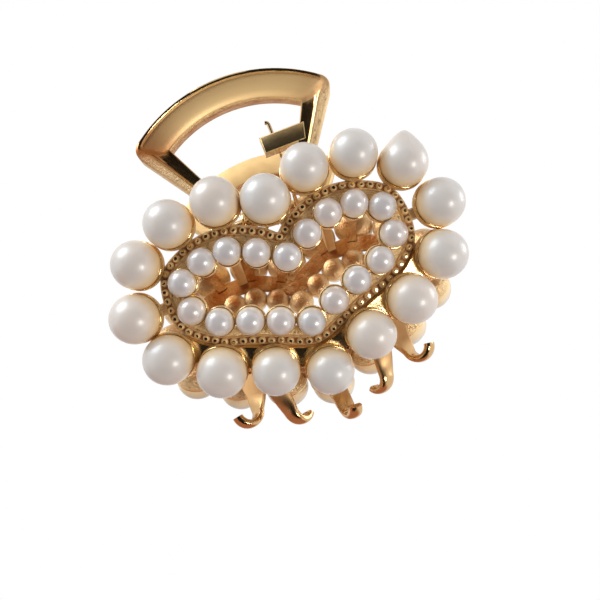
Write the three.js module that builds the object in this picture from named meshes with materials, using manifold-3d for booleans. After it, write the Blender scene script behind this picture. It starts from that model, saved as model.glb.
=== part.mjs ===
// A spring claw clip for hair: two cast openwork jaws set with pearls, a hinge pin and a torsion spring.
// Lengths are millimetres. +X runs along the pin, -Y is the side that the front jaw faces, +Z is up.
import * as THREE from 'three';
import { mergeVertices } from 'three/addons/utils/BufferGeometryUtils.js';
import Module from 'manifold-3d';

const wasm = await Module();
wasm.setup();

// Pearls: flat-backed balls, glued into cups
const largePearl = 6.8;
const smallPearl = 3.9;
const pearlGap = 0.35;
const glueGap = 0.2;
const pearlSeatShare = 0.77;
const nubReach = 1.1;
const nubTurn = THREE.MathUtils.degToRad(20);
const nubRise = THREE.MathUtils.degToRad(20);
const nubStartShare = 0.85;

// Cups of the casting
const cupWall = 0.42;
const cupFloor = 0.9;
const rimShare = 0.42;
const cupBackShare = 0.75;
const cutOverrun = 1;

// The domed, leaning plate that the cups lie on
const plateLean = THREE.MathUtils.degToRad(20);
const domeReach = 14.8;
const domeDrop = 10.2;
const domeRadiusTall = 35;
const domeRadiusWide = 73;
const notchRise = 1.35;

// Heart border between the two rings, and the webs from it to the large cups
const borderReach = 2.85;
const borderWidth = 1.25;
const borderHeight = 0.75;
const borderDepth = 0.65;
const borderTensionShare = 0.5;
const webWidth = 1.7;
const webThickness = 0.9;

// Finger loop
const loopFlare = THREE.MathUtils.degToRad(4);
const loopRise = 16.8;
const loopHalfWidth = 15;
const loopInnerHalfWidth = 10;
const loopBend = 21.5;
const loopBand = 4.5;
const loopThickness = 2.5;
const loopRim = 0.55;
const loopDish = 0.7;
const loopCornerDrop = 0.7;
const sideRimShare = 1.6;
const footRimShare = 1.2;
const legFootHalfWidth = 1.2;
const legFootShift = 0.2;
const legFootDrop = 0.9;

// Stub that the spring leg rests on
const stubTip = 2.4;
const stubEnd = 8.6;
const stubSlant = 0.7;
const stubRise = 3.3;
const stubHeight = 2.7;
const stubThickness = 1.6;
const stubSetback = 0.4;

// Hinge: pin, ears of both jaws and the running gaps between them
const pinRadius = 0.9;
const pinClearance = 0.2;
const pinHeadRadius = 1.5;
const pinHeadFlat = 1.05;
const pinHeadHeight = 0.7;
const earWall = 1.1;
const earThickness = 1.4;
const earSpread = 5.7;
const earGap = 0.3;
const earRootHeight = 6;
const earRootRise = 1.5;

// Torsion spring
const wire = 0.7;
const springClearance = 0.45;
const curls = 6;
const curlSteps = 8;
const wireSides = 5;
const legBendSteps = 3;
const legLength = 5.6;
const legBend = 1.1;
const legAngle = THREE.MathUtils.degToRad(13);

// Teeth: a foot along the dome, a neck that turns towards its hook's side, and the hook
const toothThickness = 1.1;
const toothRoot = 4.6;
const toothWaist = 3;
const toothNeck = 2.5;
const toothTip = 1.8;
const toothFoot = 4.2;
const toothLean = THREE.MathUtils.degToRad(12);
const hookRadius = 2;
const footSteps = 2;
const neckSteps = 3;
const toothSectionShares = [[-1, 1], [1, 1], [1, -0.3], [0.55, -1], [-0.55, -1], [-1, -0.3]];

const frontToothSpread = 8;
const frontToothDrop = 3.9;
const frontToothTurn = THREE.MathUtils.degToRad(42);
const frontToothSweep = THREE.MathUtils.degToRad(130);
const middleToothDrop = 4.1;
const middleToothTurn = THREE.MathUtils.degToRad(20);
const middleToothSweep = THREE.MathUtils.degToRad(135);
const outerToothSpread = 11.7;
const outerToothDrop = 2.7;
const outerToothTurn = THREE.MathUtils.degToRad(50);
const outerToothSweep = THREE.MathUtils.degToRad(155);

// Places on the plate, as shares of a ring's pitch: across, and up from the large notch pearl.
const largeRingShares = [
  [0, 0], [0.915, 0.305], [1.915, 0.235], [2.775, -0.28], [3.17, -1.25],
  [2.845, -2.215], [1.965, -2.81], [0.99, -3.165], [0, -3.55],
];
const smallRingShares = [
  [0, -1.975], [0.859, -1.506], [1.718, -1.129], [2.623, -1.153], [3.459, -1.565],
  [3.494, -2.518], [2.776, -3.165], [1.835, -3.482], [0.929, -3.835], [0, -4.212],
];
// Each large pearl's diameter, from the notch round by the right.
const largeSizeShares = [
  0.965, 0.965, 0.97, 0.99, 1.0, 1.02, 1.02, 1.0,
  0.97, 0.985, 1.03, 1.03, 1.02, 1.0, 0.97, 0.955,
];
const nubbedPearl = 3;
// The border's corner with two large cups is closed where both lie lower than this, in pitches.
const closedBelowShare = -2;

// The heart is as large as the tighter of its two rings needs.
const smallPitchShare = 0.5944;
const largePitch = Math.max(largePearl + pearlGap, (smallPearl + pearlGap) / smallPitchShare);
const smallPitch = largePitch * smallPitchShare;

const largeSides = 9;
const smallSides = 7;
const pearlSteps = 4;
const pocketSteps = 3;
const borderSteps = 27;
const arcSteps = 7;
const eyeSteps = 6;
const straightUp = Math.PI / 2;
const weldShare = 1e-6;

const gold = new THREE.MeshStandardMaterial({ color: 0xd9b777, roughness: 0.28, metalness: 1 });
const steel = new THREE.MeshStandardMaterial({ color: 0xc9ab78, roughness: 0.3, metalness: 1 });
const pearl = new THREE.MeshStandardMaterial({ color: 0xece4dc, roughness: 0.25, metalness: 0 });

// Turns a closed geometry into a solid. Corners that lie together become one, and triangles that
// have shrunk to a line at a pole are left out.
function toSolid(geometry, placement) {
  const bare = geometry.clone();
  bare.deleteAttribute('normal');
  bare.deleteAttribute('uv');
  if (placement) bare.applyMatrix4(placement);
  const welded = mergeVertices(bare, largePearl * weldShare);
  const corners = welded.index.array;
  const kept = [];
  for (let i = 0; i < corners.length; i += 3) {
    const [a, b, c] = [corners[i], corners[i + 1], corners[i + 2]];
    if (a !== b && b !== c && c !== a) kept.push(a, b, c);
  }
  const vertProperties = new Float32Array(welded.attributes.position.array);
  return new wasm.Manifold(new wasm.Mesh({ numProp: 3, vertProperties, triVerts: new Uint32Array(kept) }));
}

function toGeometry(solid) {
  const mesh = solid.getMesh();
  const geometry = new THREE.BufferGeometry();
  geometry.setAttribute('position', new THREE.BufferAttribute(mesh.vertProperties, 3));
  geometry.setIndex(new THREE.BufferAttribute(mesh.triVerts, 1));
  geometry.computeVertexNormals();
  return geometry;
}

function joined(solids) {
  return solids.reduce((whole, solid) => whole.add(solid));
}

// Skins a row of outlines that all have the same number of points. A closed row meets its own start,
// and an open one gets flat ends. Outlines turn counter-clockwise seen against the row's direction.
function loft(rings, closed = false) {
  const sides = rings[0].length;
  const positions = rings.flat().flatMap((point) => point.toArray());
  const faces = [];
  const spans = closed ? rings.length : rings.length - 1;
  for (let i = 0; i < spans; i += 1) {
    const here = i * sides;
    const next = ((i + 1) % rings.length) * sides;
    for (let j = 0; j < sides; j += 1) {
      const k = (j + 1) % sides;
      faces.push(here + j, here + k, next + k, here + j, next + k, next + j);
    }
  }
  if (!closed) {
    const last = (rings.length - 1) * sides;
    for (let j = 1; j < sides - 1; j += 1) {
      faces.push(0, j + 1, j, last, last + j, last + j + 1);
    }
  }
  const geometry = new THREE.BufferGeometry();
  geometry.setAttribute('position', new THREE.Float32BufferAttribute(positions, 3));
  geometry.setIndex(faces);
  return geometry;
}

function turned(profile, sides) {
  const points = profile.map(([radius, height]) => new THREE.Vector2(radius, height));
  return new THREE.LatheGeometry(points, sides).rotateX(straightUp);
}

// The plate's own axes are X, up along the plate, and out of it. This turns them into the jaw's.
const plateToJaw = new THREE.Matrix4().makeRotationX(straightUp + plateLean);

// How far the cup floors lie in front of the pin, at a place on the plate.
function floorAt(x, up) {
  const rise = up + domeDrop;
  return domeReach - (x * x) / (2 * domeRadiusWide) - (rise * rise) / (2 * domeRadiusTall);
}

function floorNormal(x, up) {
  return new THREE.Vector3(x / domeRadiusWide, (up + domeDrop) / domeRadiusTall, 1).normalize();
}

// The jaw's frame at a place on the plate: across, up along the dome, and out of it.
function onPlate(x, up, lift = 0) {
  const out = floorNormal(x, up);
  const across = new THREE.Vector3(out.z, 0, -out.x).normalize();
  const along = new THREE.Vector3().crossVectors(out, across);
  const place = new THREE.Vector3(x, up, floorAt(x, up)).addScaledVector(out, lift);
  const frame = new THREE.Matrix4().makeBasis(across, along, out).setPosition(place);
  return frame.premultiply(plateToJaw);
}

function platePoint(x, up, lift) {
  return new THREE.Vector3().setFromMatrixPosition(onPlate(x, up, lift));
}

// Both sides of a ring: the notch, the right side downwards, the vertex, and the left side upwards.
function ringPlaces(shares, pitch) {
  const places = shares.map(([x, up]) => [x * pitch, up * pitch + notchRise]);
  const left = places.slice(1, -1).reverse().map(([x, up]) => [-x, up]);
  return [...places, ...left];
}

// A pearl's centre stands off the floor, so its cup lies nearer the dome's middle than the pearl does.
function cupPlaces(shares, pitch, radius) {
  const stand = radius * pearlSeatShare + glueGap;
  return ringPlaces(shares, pitch).map(([x, up]) => [
    x / (1 + stand / domeRadiusWide),
    (up + domeDrop) / (1 + stand / domeRadiusTall) - domeDrop,
  ]);
}

const largePlaces = cupPlaces(largeRingShares, largePitch, largePearl / 2);
const smallPlaces = cupPlaces(smallRingShares, smallPitch, smallPearl / 2);
const largeRadii = largeSizeShares.map((share) => (share * largePearl) / 2);
const smallRadii = smallPlaces.map(() => smallPearl / 2);

// Profile of a flat-backed ball, from its flat back to its top, grown by a gap on every side.
function pearlProfile(radius, steps, grown = 0) {
  const centre = radius * pearlSeatShare;
  const start = -Math.asin(pearlSeatShare);
  const profile = [[0, -grown]];
  for (let i = 0; i <= steps; i += 1) {
    const angle = THREE.MathUtils.lerp(start, straightUp, i / steps);
    const height = i === 0 ? -grown : centre + (radius + grown) * Math.sin(angle);
    const reach = i === steps ? 0 : (radius + grown) * Math.cos(angle);
    profile.push([reach, height]);
  }
  return profile;
}

function pearlGeometry(radius, sides) {
  return turned(pearlProfile(radius, pearlSteps), sides);
}

// One pearl kept the short point where its mould was filled: the skin is drawn out to that side.
function nubbedGeometry(radius, sides) {
  const geometry = pearlGeometry(radius, sides);
  const centre = new THREE.Vector3(0, 0, radius * pearlSeatShare);
  const side = new THREE.Vector3(0, 0, 1).applyAxisAngle(new THREE.Vector3(1, 0, 0), nubRise - straightUp)
    .applyAxisAngle(new THREE.Vector3(0, 0, 1), -nubTurn);
  const places = geometry.attributes.position;
  for (let i = 0; i < places.count; i += 1) {
    const point = new THREE.Vector3().fromBufferAttribute(places, i);
    const facing = point.clone().sub(centre).normalize().dot(side);
    const pull = THREE.MathUtils.smoothstep(facing, nubStartShare, 1);
    point.addScaledVector(side, nubReach * pull);
    places.setXYZ(i, point.x, point.y, point.z);
  }
  return geometry;
}

function rimHeight(radius) {
  return glueGap + radius * rimShare;
}

function cupRadius(radius) {
  const drop = radius * pearlSeatShare + glueGap - rimHeight(radius);
  return Math.sqrt((radius + glueGap) ** 2 - drop ** 2) + cupWall;
}

// A bowl with a rounded back. It is solid here: the pearl's pocket is cut once all bowls are joined.
function cup(radius, sides, x, up) {
  const outer = cupRadius(radius);
  const rim = rimHeight(radius);
  const profile = [[0, -cupFloor], [outer * cupBackShare, -cupFloor], [outer, rim], [0, rim]];
  return toSolid(turned(profile, sides), onPlate(x, up));
}

function pocket(radius, sides, x, up) {
  const profile = pearlProfile(radius, pocketSteps, glueGap);
  return toSolid(turned(profile, sides), onPlate(x, up, glueGap));
}

// The border follows the small ring at one distance outside it.
function borderPath() {
  const count = smallPlaces.length;
  const points = smallPlaces.map(([x, up], i) => {
    const [beforeX, beforeUp] = smallPlaces[(i + count - 1) % count];
    const [afterX, afterUp] = smallPlaces[(i + 1) % count];
    const aside = new THREE.Vector2(beforeUp - afterUp, afterX - beforeX).normalize();
    return new THREE.Vector3(x + aside.x * borderReach, up + aside.y * borderReach, 0);
  });
  return new THREE.CatmullRomCurve3(points, true, 'catmullrom', borderTensionShare);
}

const border = borderPath();
const borderPoints = border.getPoints(borderSteps).slice(0, -1);

function borderBand() {
  const count = borderPoints.length;
  const rings = borderPoints.map((point, i) => {
    const before = borderPoints[(i + count - 1) % count];
    const after = borderPoints[(i + 1) % count];
    const aside = new THREE.Vector2(before.y - after.y, after.x - before.x).normalize();
    const half = borderWidth / 2;
    const outer = [point.x + aside.x * half, point.y + aside.y * half];
    const inner = [point.x - aside.x * half, point.y - aside.y * half];
    return [
      platePoint(...inner, -borderDepth),
      platePoint(...outer, -borderDepth),
      platePoint(...outer, borderHeight),
      platePoint(...inner, borderHeight),
    ];
  });
  return toSolid(loft(rings, true));
}

function nearestBorder(place) {
  return borderPoints.reduce((best, point) => (
    point.distanceTo(place) < best.distanceTo(place) ? point : best));
}

// A flat bar from a large cup to the nearest stretch of the border.
function web(x, up) {
  const cupPoint = new THREE.Vector3(x, up, 0);
  const nearest = nearestBorder(cupPoint);
  const aside = new THREE.Vector2(up - nearest.y, nearest.x - x).setLength(webWidth / 2);
  const ring = (place) => [[-1, -1], [1, -1], [1, 0], [-1, 0]].map(([side, level]) => (
    platePoint(place.x + aside.x * side, place.y + aside.y * side, level * webThickness)));
  return toSolid(loft([ring(cupPoint), ring(nearest)]));
}

// A flat web that closes the corner between two large cups and the border.
function cornerWeb(index) {
  const [first, second] = [largePlaces[index], largePlaces[index + 1]];
  const middle = new THREE.Vector3((first[0] + second[0]) / 2, (first[1] + second[1]) / 2, 0);
  const nearest = nearestBorder(middle);
  const corners = [second, first, [nearest.x, nearest.y]];
  const ring = (level) => corners.map(([x, up]) => platePoint(x, up, level * webThickness));
  return toSolid(loft([ring(-1), ring(0)]));
}

function cornerWebs() {
  const low = notchRise + closedBelowShare * largePitch;
  const isLow = (index) => largePlaces[index % largePlaces.length][1] < low;
  const indices = largePlaces.map((place, index) => index);
  return indices.filter((index) => isLow(index) && isLow(index + 1)).map((index) => cornerWeb(index));
}

const [footX, footUp] = largePlaces[1];

// The finger loop's own axes: X, up along the loop from the pin's height, and out of its outer face,
// which passes a little in front of the floor of the cup that hides the leg's foot.
const legCup = platePoint(footX, footUp, stubSetback);
const loopToJaw = new THREE.Matrix4().makeRotationX(straightUp + loopFlare)
  .setPosition(0, legCup.y + legCup.z * Math.tan(loopFlare), 0);

function arcHeight(rise, bend, x) {
  return rise - bend + Math.sqrt(bend * bend - x * x);
}

// Outline of the fan-shaped loop, drawn in by an inset on every side.
function loopOutline(inset) {
  const outerBend = loopBend - inset;
  const innerBend = loopBend - loopBand + inset;
  const middle = loopRise - loopBend;
  const halfWidth = loopHalfWidth - inset * sideRimShare;
  const innerHalf = loopInnerHalfWidth + inset * sideRimShare;
  const footMiddle = footX + legFootShift;
  const foot = legFootHalfWidth - inset * footRimShare;
  const footHeight = inset - legFootDrop;
  const shoulder = arcHeight(loopRise - inset, outerBend, halfWidth);
  const innerShoulder = arcHeight(loopRise - loopBand + inset, innerBend, innerHalf);
  const outerStart = Math.atan2(shoulder - middle, -halfWidth);
  const outerEnd = Math.atan2(shoulder - middle, halfWidth);
  const innerStart = Math.atan2(innerShoulder - middle, innerHalf);
  const innerEnd = Math.atan2(innerShoulder - middle, -innerHalf);
  const shape = new THREE.Shape();
  shape.moveTo(-footMiddle - foot, footHeight);
  shape.lineTo(-halfWidth, shoulder - loopCornerDrop);
  shape.absarc(0, middle, outerBend, outerStart, outerEnd, true);
  shape.lineTo(halfWidth, shoulder - loopCornerDrop);
  shape.lineTo(footMiddle + foot, footHeight);
  shape.lineTo(footMiddle - foot, footHeight);
  shape.lineTo(innerHalf, innerShoulder);
  shape.absarc(0, middle, innerBend, innerStart, innerEnd, false);
  shape.lineTo(-footMiddle + foot, footHeight);
  shape.closePath();
  return shape;
}

function slab(shape, thickness, back) {
  const options = { depth: thickness, bevelEnabled: false, curveSegments: arcSteps };
  return new THREE.ExtrudeGeometry(shape, options).translate(0, 0, back);
}

function fingerLoop() {
  const body = toSolid(slab(loopOutline(0), loopThickness, -loopThickness), loopToJaw);
  const dish = toSolid(slab(loopOutline(loopRim), loopDish + cutOverrun, -loopDish), loopToJaw);
  return body.subtract(dish);
}

function springStub() {
  const shape = new THREE.Shape();
  shape.moveTo(stubTip, stubRise);
  shape.lineTo(stubEnd, stubRise);
  shape.lineTo(stubEnd + stubSlant, stubRise + stubHeight);
  shape.lineTo(stubTip, stubRise + stubHeight);
  shape.closePath();
  return toSolid(slab(shape, stubThickness, -stubSetback - stubThickness), loopToJaw);
}

// An arm from behind the cups to the pin, with a round eye. Its outline lies in the plane across the pin.
function ear(x) {
  const eye = pinRadius + pinClearance + earWall;
  const rootOut = floorAt(x, footUp) - cupFloor / 2;
  const rootTop = footUp + earRootRise;
  const shape = new THREE.Shape();
  shape.moveTo(rootOut, rootTop - earRootHeight);
  shape.lineTo(rootOut, rootTop);
  shape.quadraticCurveTo(rootOut / 2, eye, 0, eye);
  shape.absarc(0, 0, eye, straightUp, -straightUp, false);
  shape.quadraticCurveTo(rootOut / 2, -eye, rootOut, rootTop - earRootHeight);
  const hole = new THREE.Path();
  hole.absarc(0, 0, pinRadius + pinClearance, 0, Math.PI * 2, false);
  shape.holes.push(hole);
  const options = { depth: earThickness, bevelEnabled: false, curveSegments: eyeSteps };
  const arm = new THREE.ExtrudeGeometry(shape, options);
  const across = new THREE.Matrix4().makeBasis(
    new THREE.Vector3(0, 0, 1), new THREE.Vector3(0, 1, 0), new THREE.Vector3(-1, 0, 0),
  );
  across.setPosition(x + earThickness / 2, 0, 0);
  return toSolid(arm, across.premultiply(plateToJaw));
}

// Across the ribbon of a tooth that has bent inwards by an angle and turned aside from straight inwards.
function toothSection(place, { angle, turn, width }) {
  const inward = new THREE.Vector3(Math.sin(turn), Math.cos(turn), 0);
  const upward = new THREE.Vector3(0, 0, 1);
  const side = new THREE.Vector3().crossVectors(inward, upward);
  const facing = inward.multiplyScalar(Math.cos(angle)).addScaledVector(upward, Math.sin(angle));
  return toothSectionShares.map(([across, through]) => place.clone()
    .addScaledVector(side, (across * width) / 2)
    .addScaledVector(facing, (through * toothThickness) / 2));
}

// The straight step that a tooth takes where its path bends a little about a middle state.
function toothStep({ angle, turn }, length, bend) {
  const chord = bend === 0 ? length : (length * Math.sin(bend / 2)) / (bend / 2);
  const inward = Math.sin(angle) * chord;
  return new THREE.Vector3(Math.sin(turn) * inward, Math.cos(turn) * inward, -Math.cos(angle) * chord);
}

function mixed(from, to, share) {
  const between = (key) => THREE.MathUtils.lerp(from[key], to[key], share);
  return { angle: between('angle'), turn: between('turn'), width: between('width') };
}

// A ribbon that leaves the back of the plate along the dome, turns down and hooks round to one side.
function tooth({ x, up, turn, drop, sweep }) {
  const slope = Math.asin(-floorNormal(x, up).applyMatrix4(plateToJaw).z);
  const stages = [
    { angle: slope, turn: 0, width: toothRoot },
    { angle: slope, turn: 0, width: toothWaist, length: toothFoot, steps: footSteps },
    { angle: toothLean, turn, width: toothNeck, length: drop, steps: neckSteps },
    { angle: toothLean + sweep, turn, width: toothTip, length: hookRadius * sweep, steps: arcSteps },
  ];
  const place = platePoint(x, up, -cupFloor / 2);
  const rings = [toothSection(place, stages[0])];
  stages.slice(1).forEach((to, index) => {
    const from = stages[index];
    const bend = (to.angle - from.angle) / to.steps;
    for (let i = 0; i < to.steps; i += 1) {
      place.add(toothStep(mixed(from, to, (i + 1 / 2) / to.steps), to.length / to.steps, bend));
      rings.push(toothSection(place, mixed(from, to, (i + 1) / to.steps)));
    }
  });
  return toSolid(loft(rings));
}

function casting(earPlaces, teeth, filling) {
  const bodies = [
    ...largePlaces.map((place, i) => cup(largeRadii[i], largeSides, ...place)),
    ...smallPlaces.map((place, i) => cup(smallRadii[i], smallSides, ...place)),
    ...largePlaces.map((place) => web(...place)),
    ...cornerWebs(),
    ...earPlaces.map((x) => ear(x)),
    ...teeth.map((values) => tooth(values)),
    borderBand(),
    fingerLoop(),
    springStub(),
  ];
  const pockets = largePlaces.map((place, i) => pocket(largeRadii[i], largeSides, ...place));
  if (!filling) pockets.push(...smallPlaces.map((place, i) => pocket(smallRadii[i], smallSides, ...place)));
  const cast = joined(bodies).subtract(joined(pockets));
  return toGeometry(filling ? cast.add(filling) : cast);
}

function named(name, geometry, material) {
  const mesh = new THREE.Mesh(geometry, material);
  mesh.name = name;
  return mesh;
}

function setPearls(prefix, places, radii, sides) {
  return places.map((place, i) => {
    const nubbed = prefix === 'front_large_pearl' && i === nubbedPearl;
    const geometry = nubbed ? nubbedGeometry(radii[i], sides) : pearlGeometry(radii[i], sides);
    const mesh = named(`${prefix}_${String(i + 1).padStart(2, '0')}`, geometry, pearl);
    mesh.applyMatrix4(onPlate(...place, glueGap));
    return mesh;
  });
}

const frontEarX = earSpread + earThickness / 2;
const backEarX = frontEarX + earThickness + earGap;

// The hooks of the front jaw turn towards the middle, and the outer ones of the back jaw away from it.
function frontTeeth() {
  const shared = { up: largePlaces[7][1], drop: frontToothDrop, sweep: frontToothSweep };
  return [
    { ...shared, x: frontToothSpread, turn: -frontToothTurn },
    { ...shared, x: -frontToothSpread, turn: frontToothTurn },
  ];
}

function backTeeth() {
  const [x, up] = largePlaces[8];
  const outerUp = (largePlaces[6][1] + largePlaces[7][1]) / 2;
  const shared = { up: outerUp, drop: outerToothDrop, sweep: outerToothSweep };
  return [
    { x, up, turn: -middleToothTurn, drop: middleToothDrop, sweep: middleToothSweep },
    { ...shared, x: outerToothSpread, turn: outerToothTurn },
    { ...shared, x: -outerToothSpread, turn: -outerToothTurn },
  ];
}

function frontJaw() {
  const jaw = new THREE.Group();
  jaw.add(named('front_jaw', casting([frontEarX, -frontEarX], frontTeeth()), gold));
  jaw.add(...setPearls('front_large_pearl', largePlaces, largeRadii, largeSides));
  jaw.add(...setPearls('front_small_pearl', smallPlaces, smallRadii, smallSides));
  return jaw;
}

// The back jaw is the same casting turned half round, and its small pearls are one with it.
function backJaw() {
  const jaw = new THREE.Group();
  const filling = joined(smallPlaces.map((place, i) => (
    toSolid(pearlGeometry(smallRadii[i], smallSides), onPlate(...place)))));
  jaw.add(named('back_jaw', casting([backEarX, -backEarX], backTeeth(), filling), gold));
  jaw.add(...setPearls('back_large_pearl', largePlaces, largeRadii, largeSides));
  jaw.rotation.z = Math.PI;
  return jaw;
}

function hingePin() {
  const half = backEarX + earThickness / 2 + earGap;
  const end = half + pinHeadHeight;
  const profile = [
    [0, -end], [pinHeadFlat, -end], [pinHeadRadius, -half - pinHeadHeight / 2], [pinHeadRadius, -half],
    [pinRadius, -half], [pinRadius, half],
    [pinHeadRadius, half], [pinHeadRadius, half + pinHeadHeight / 2], [pinHeadFlat, end], [0, end],
  ];
  return named('hinge_pin', turned(profile, largeSides).rotateY(straightUp), steel);
}

// The spring's middle line, from the tip of its back leg to the tip of its front leg. The two legs
// are alike, one turned half round about the upright, and the coil winds from one to the other.
const coilRadius = pinRadius + springClearance + wire / 2;
const coilHalf = earSpread - wire - springClearance;

function coilPoint(x, angle) {
  return new THREE.Vector3(x, coilRadius * Math.cos(angle), coilRadius * Math.sin(angle));
}

function frontLeg() {
  const leave = Math.PI + (straightUp - legAngle);
  const foot = coilPoint(coilHalf, leave);
  const heading = new THREE.Vector3(0, -Math.cos(legAngle), Math.sin(legAngle));
  const depth = -stubSetback - stubThickness - glueGap - wire / 2;
  const low = new THREE.Vector3(coilHalf, stubRise, depth).applyMatrix4(loopToJaw);
  const high = new THREE.Vector3(coilHalf, stubRise + legLength, depth).applyMatrix4(loopToJaw);
  const climb = high.clone().sub(low).normalize();
  const across = heading.y * climb.z - heading.z * climb.y;
  const gap = low.clone().sub(foot);
  const run = (gap.y * climb.z - gap.z * climb.y) / across;
  const corner = foot.clone().addScaledVector(heading, run);
  const points = [foot.clone().addScaledVector(heading, run / 2)];
  const from = corner.clone().addScaledVector(heading, -legBend);
  const to = corner.clone().addScaledVector(climb, legBend);
  const curve = new THREE.QuadraticBezierCurve3(from, corner, to);
  return { leave, points: [...points, ...curve.getPoints(legBendSteps), high] };
}

function springPath() {
  const { leave, points } = frontLeg();
  const backLeg = points.map((point) => new THREE.Vector3(-point.x, -point.y, point.z)).reverse();
  const enter = Math.PI - leave;
  const sweep = leave - enter - Math.PI * 2 * curls;
  const steps = Math.ceil((Math.abs(sweep) / (Math.PI * 2)) * curlSteps);
  const coil = [];
  for (let i = 0; i <= steps; i += 1) {
    const x = THREE.MathUtils.lerp(-coilHalf, coilHalf, i / steps);
    coil.push(coilPoint(x, enter + (sweep * i) / steps));
  }
  return [...backLeg, ...coil, ...points];
}

// Each ring of the tube is turned with the wire, never twisted about it.
function tube(path, radius, sides) {
  const tangents = path.map((point, i) => {
    const before = path[Math.max(i - 1, 0)];
    const after = path[Math.min(i + 1, path.length - 1)];
    return after.clone().sub(before).normalize();
  });
  const aside = new THREE.Vector3(1, 0, 0);
  const rings = path.map((point, i) => {
    aside.addScaledVector(tangents[i], -aside.dot(tangents[i])).normalize();
    const other = new THREE.Vector3().crossVectors(tangents[i], aside);
    return Array.from({ length: sides }, (_, j) => {
      const angle = (Math.PI * 2 * j) / sides;
      return point.clone().addScaledVector(aside, radius * Math.cos(angle))
        .addScaledVector(other, radius * Math.sin(angle));
    });
  });
  return loft(rings);
}

// The least space between one curl of the wire and the next, measured on points along it.
function leastGap(path) {
  let least = Infinity;
  for (let i = 0; i < path.length; i += 1) {
    for (let j = i + Math.ceil(curlSteps / 2); j < path.length; j += 1) {
      least = Math.min(least, path[i].distanceTo(path[j]) - wire);
    }
  }
  return least;
}

function torsionSpring() {
  const path = springPath();
  console.log(`Least gap between the spring's curls: ${leastGap(path).toFixed(2)} mm`);
  return named('torsion_spring', tube(path, wire / 2, wireSides), steel);
}

// The finished clip stands with its lowest tooth at height 0 and its middle over the origin.
function standing(parts) {
  const clip = new THREE.Group();
  clip.add(...parts);
  clip.updateMatrixWorld(true);
  const box = new THREE.Box3().setFromObject(clip, true);
  clip.position.set(-(box.min.x + box.max.x) / 2, -(box.min.y + box.max.y) / 2, -box.min.z);
  return clip;
}

const clip = standing([frontJaw(), backJaw(), hingePin(), torsionSpring()]);

export default clip;
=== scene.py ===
# %% [markdown]
# # A pearl claw clip, built as a lesson
#
# A claw clip holds hair between two jaws that a small spring closes. This one is a piece of costume
# jewellery: each jaw is one zinc casting plated in pale gold, with thirty-four pearls glued into
# little cups. The jaws turn on one pin, and a torsion spring sits round that pin.
#
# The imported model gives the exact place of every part, so nothing here is fitted by eye. What this
# script adds is what a camera sees: thin rims, milled beads, a dished loop, rounded edges,
# the skin of cast metal and the soft depth of pearl lacquer.
#
# Lengths are written in millimetres, because that is how a jeweller thinks, and turned into metres
# when a mesh is made.

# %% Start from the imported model
import math

import bmesh
import bpy
import numpy as np
from mathutils import Matrix, Vector


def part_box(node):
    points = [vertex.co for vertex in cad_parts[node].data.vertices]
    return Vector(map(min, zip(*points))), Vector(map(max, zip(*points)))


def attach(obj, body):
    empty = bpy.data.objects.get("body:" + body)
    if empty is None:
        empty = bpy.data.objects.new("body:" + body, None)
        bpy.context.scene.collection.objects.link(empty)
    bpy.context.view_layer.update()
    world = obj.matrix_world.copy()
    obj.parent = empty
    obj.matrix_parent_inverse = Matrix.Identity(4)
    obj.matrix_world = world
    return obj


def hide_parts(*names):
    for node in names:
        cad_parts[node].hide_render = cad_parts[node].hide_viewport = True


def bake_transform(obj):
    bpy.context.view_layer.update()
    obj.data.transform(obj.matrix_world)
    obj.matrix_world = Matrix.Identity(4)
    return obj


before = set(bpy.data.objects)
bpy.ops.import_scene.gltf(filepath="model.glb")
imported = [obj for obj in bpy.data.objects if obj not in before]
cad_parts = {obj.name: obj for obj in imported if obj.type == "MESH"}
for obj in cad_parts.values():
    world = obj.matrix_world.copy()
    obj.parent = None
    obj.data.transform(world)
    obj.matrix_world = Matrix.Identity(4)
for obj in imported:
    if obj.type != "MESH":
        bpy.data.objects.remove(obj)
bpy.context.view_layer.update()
MM = 0.001
pin_low, pin_high = (np.array(corner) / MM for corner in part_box("hinge_pin"))
hinge_height = float(pin_low[2] + pin_high[2]) / 2

# %% [markdown]
# ## The camera comes first
#
# The thirty-four pearls are as good as survey marks: their centres on the picture give the camera's
# direction, roll and distance by least squares. The picture shows the clip rolled by about 21
# degrees, so here the camera is rolled instead, and the clip stands straight in its own frame.

# %% Camera
CAMERA_TARGET = (-0.442, -8.0, hinge_height - 17.125)
CAMERA_DISTANCE, CAMERA_LENS, CAMERA_NEAR = 90.0, 38.769, 10.0
CAMERA_AZIMUTH, CAMERA_ELEVATION, CAMERA_ROLL = (math.radians(turn) for turn in (-0.922, -15.712, -21.3))


def linked(name, data):
    """A new object at the origin that shows a mesh, a curve, a lamp or a camera."""
    item = bpy.data.objects.new(name, data)
    bpy.context.scene.collection.objects.link(item)
    return item


def camera_axes():
    """Right, up and towards-the-camera, as unit vectors of the clip's frame."""
    towards = Vector((math.sin(CAMERA_AZIMUTH) * math.cos(CAMERA_ELEVATION),
                      -math.cos(CAMERA_AZIMUTH) * math.cos(CAMERA_ELEVATION),
                      math.sin(CAMERA_ELEVATION)))
    right = Vector((0, 0, 1)).cross(towards).normalized()
    up = towards.cross(right)
    turned_right = right * math.cos(CAMERA_ROLL) + up * math.sin(CAMERA_ROLL)
    turned_up = up * math.cos(CAMERA_ROLL) - right * math.sin(CAMERA_ROLL)
    return turned_right, turned_up, towards


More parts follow.
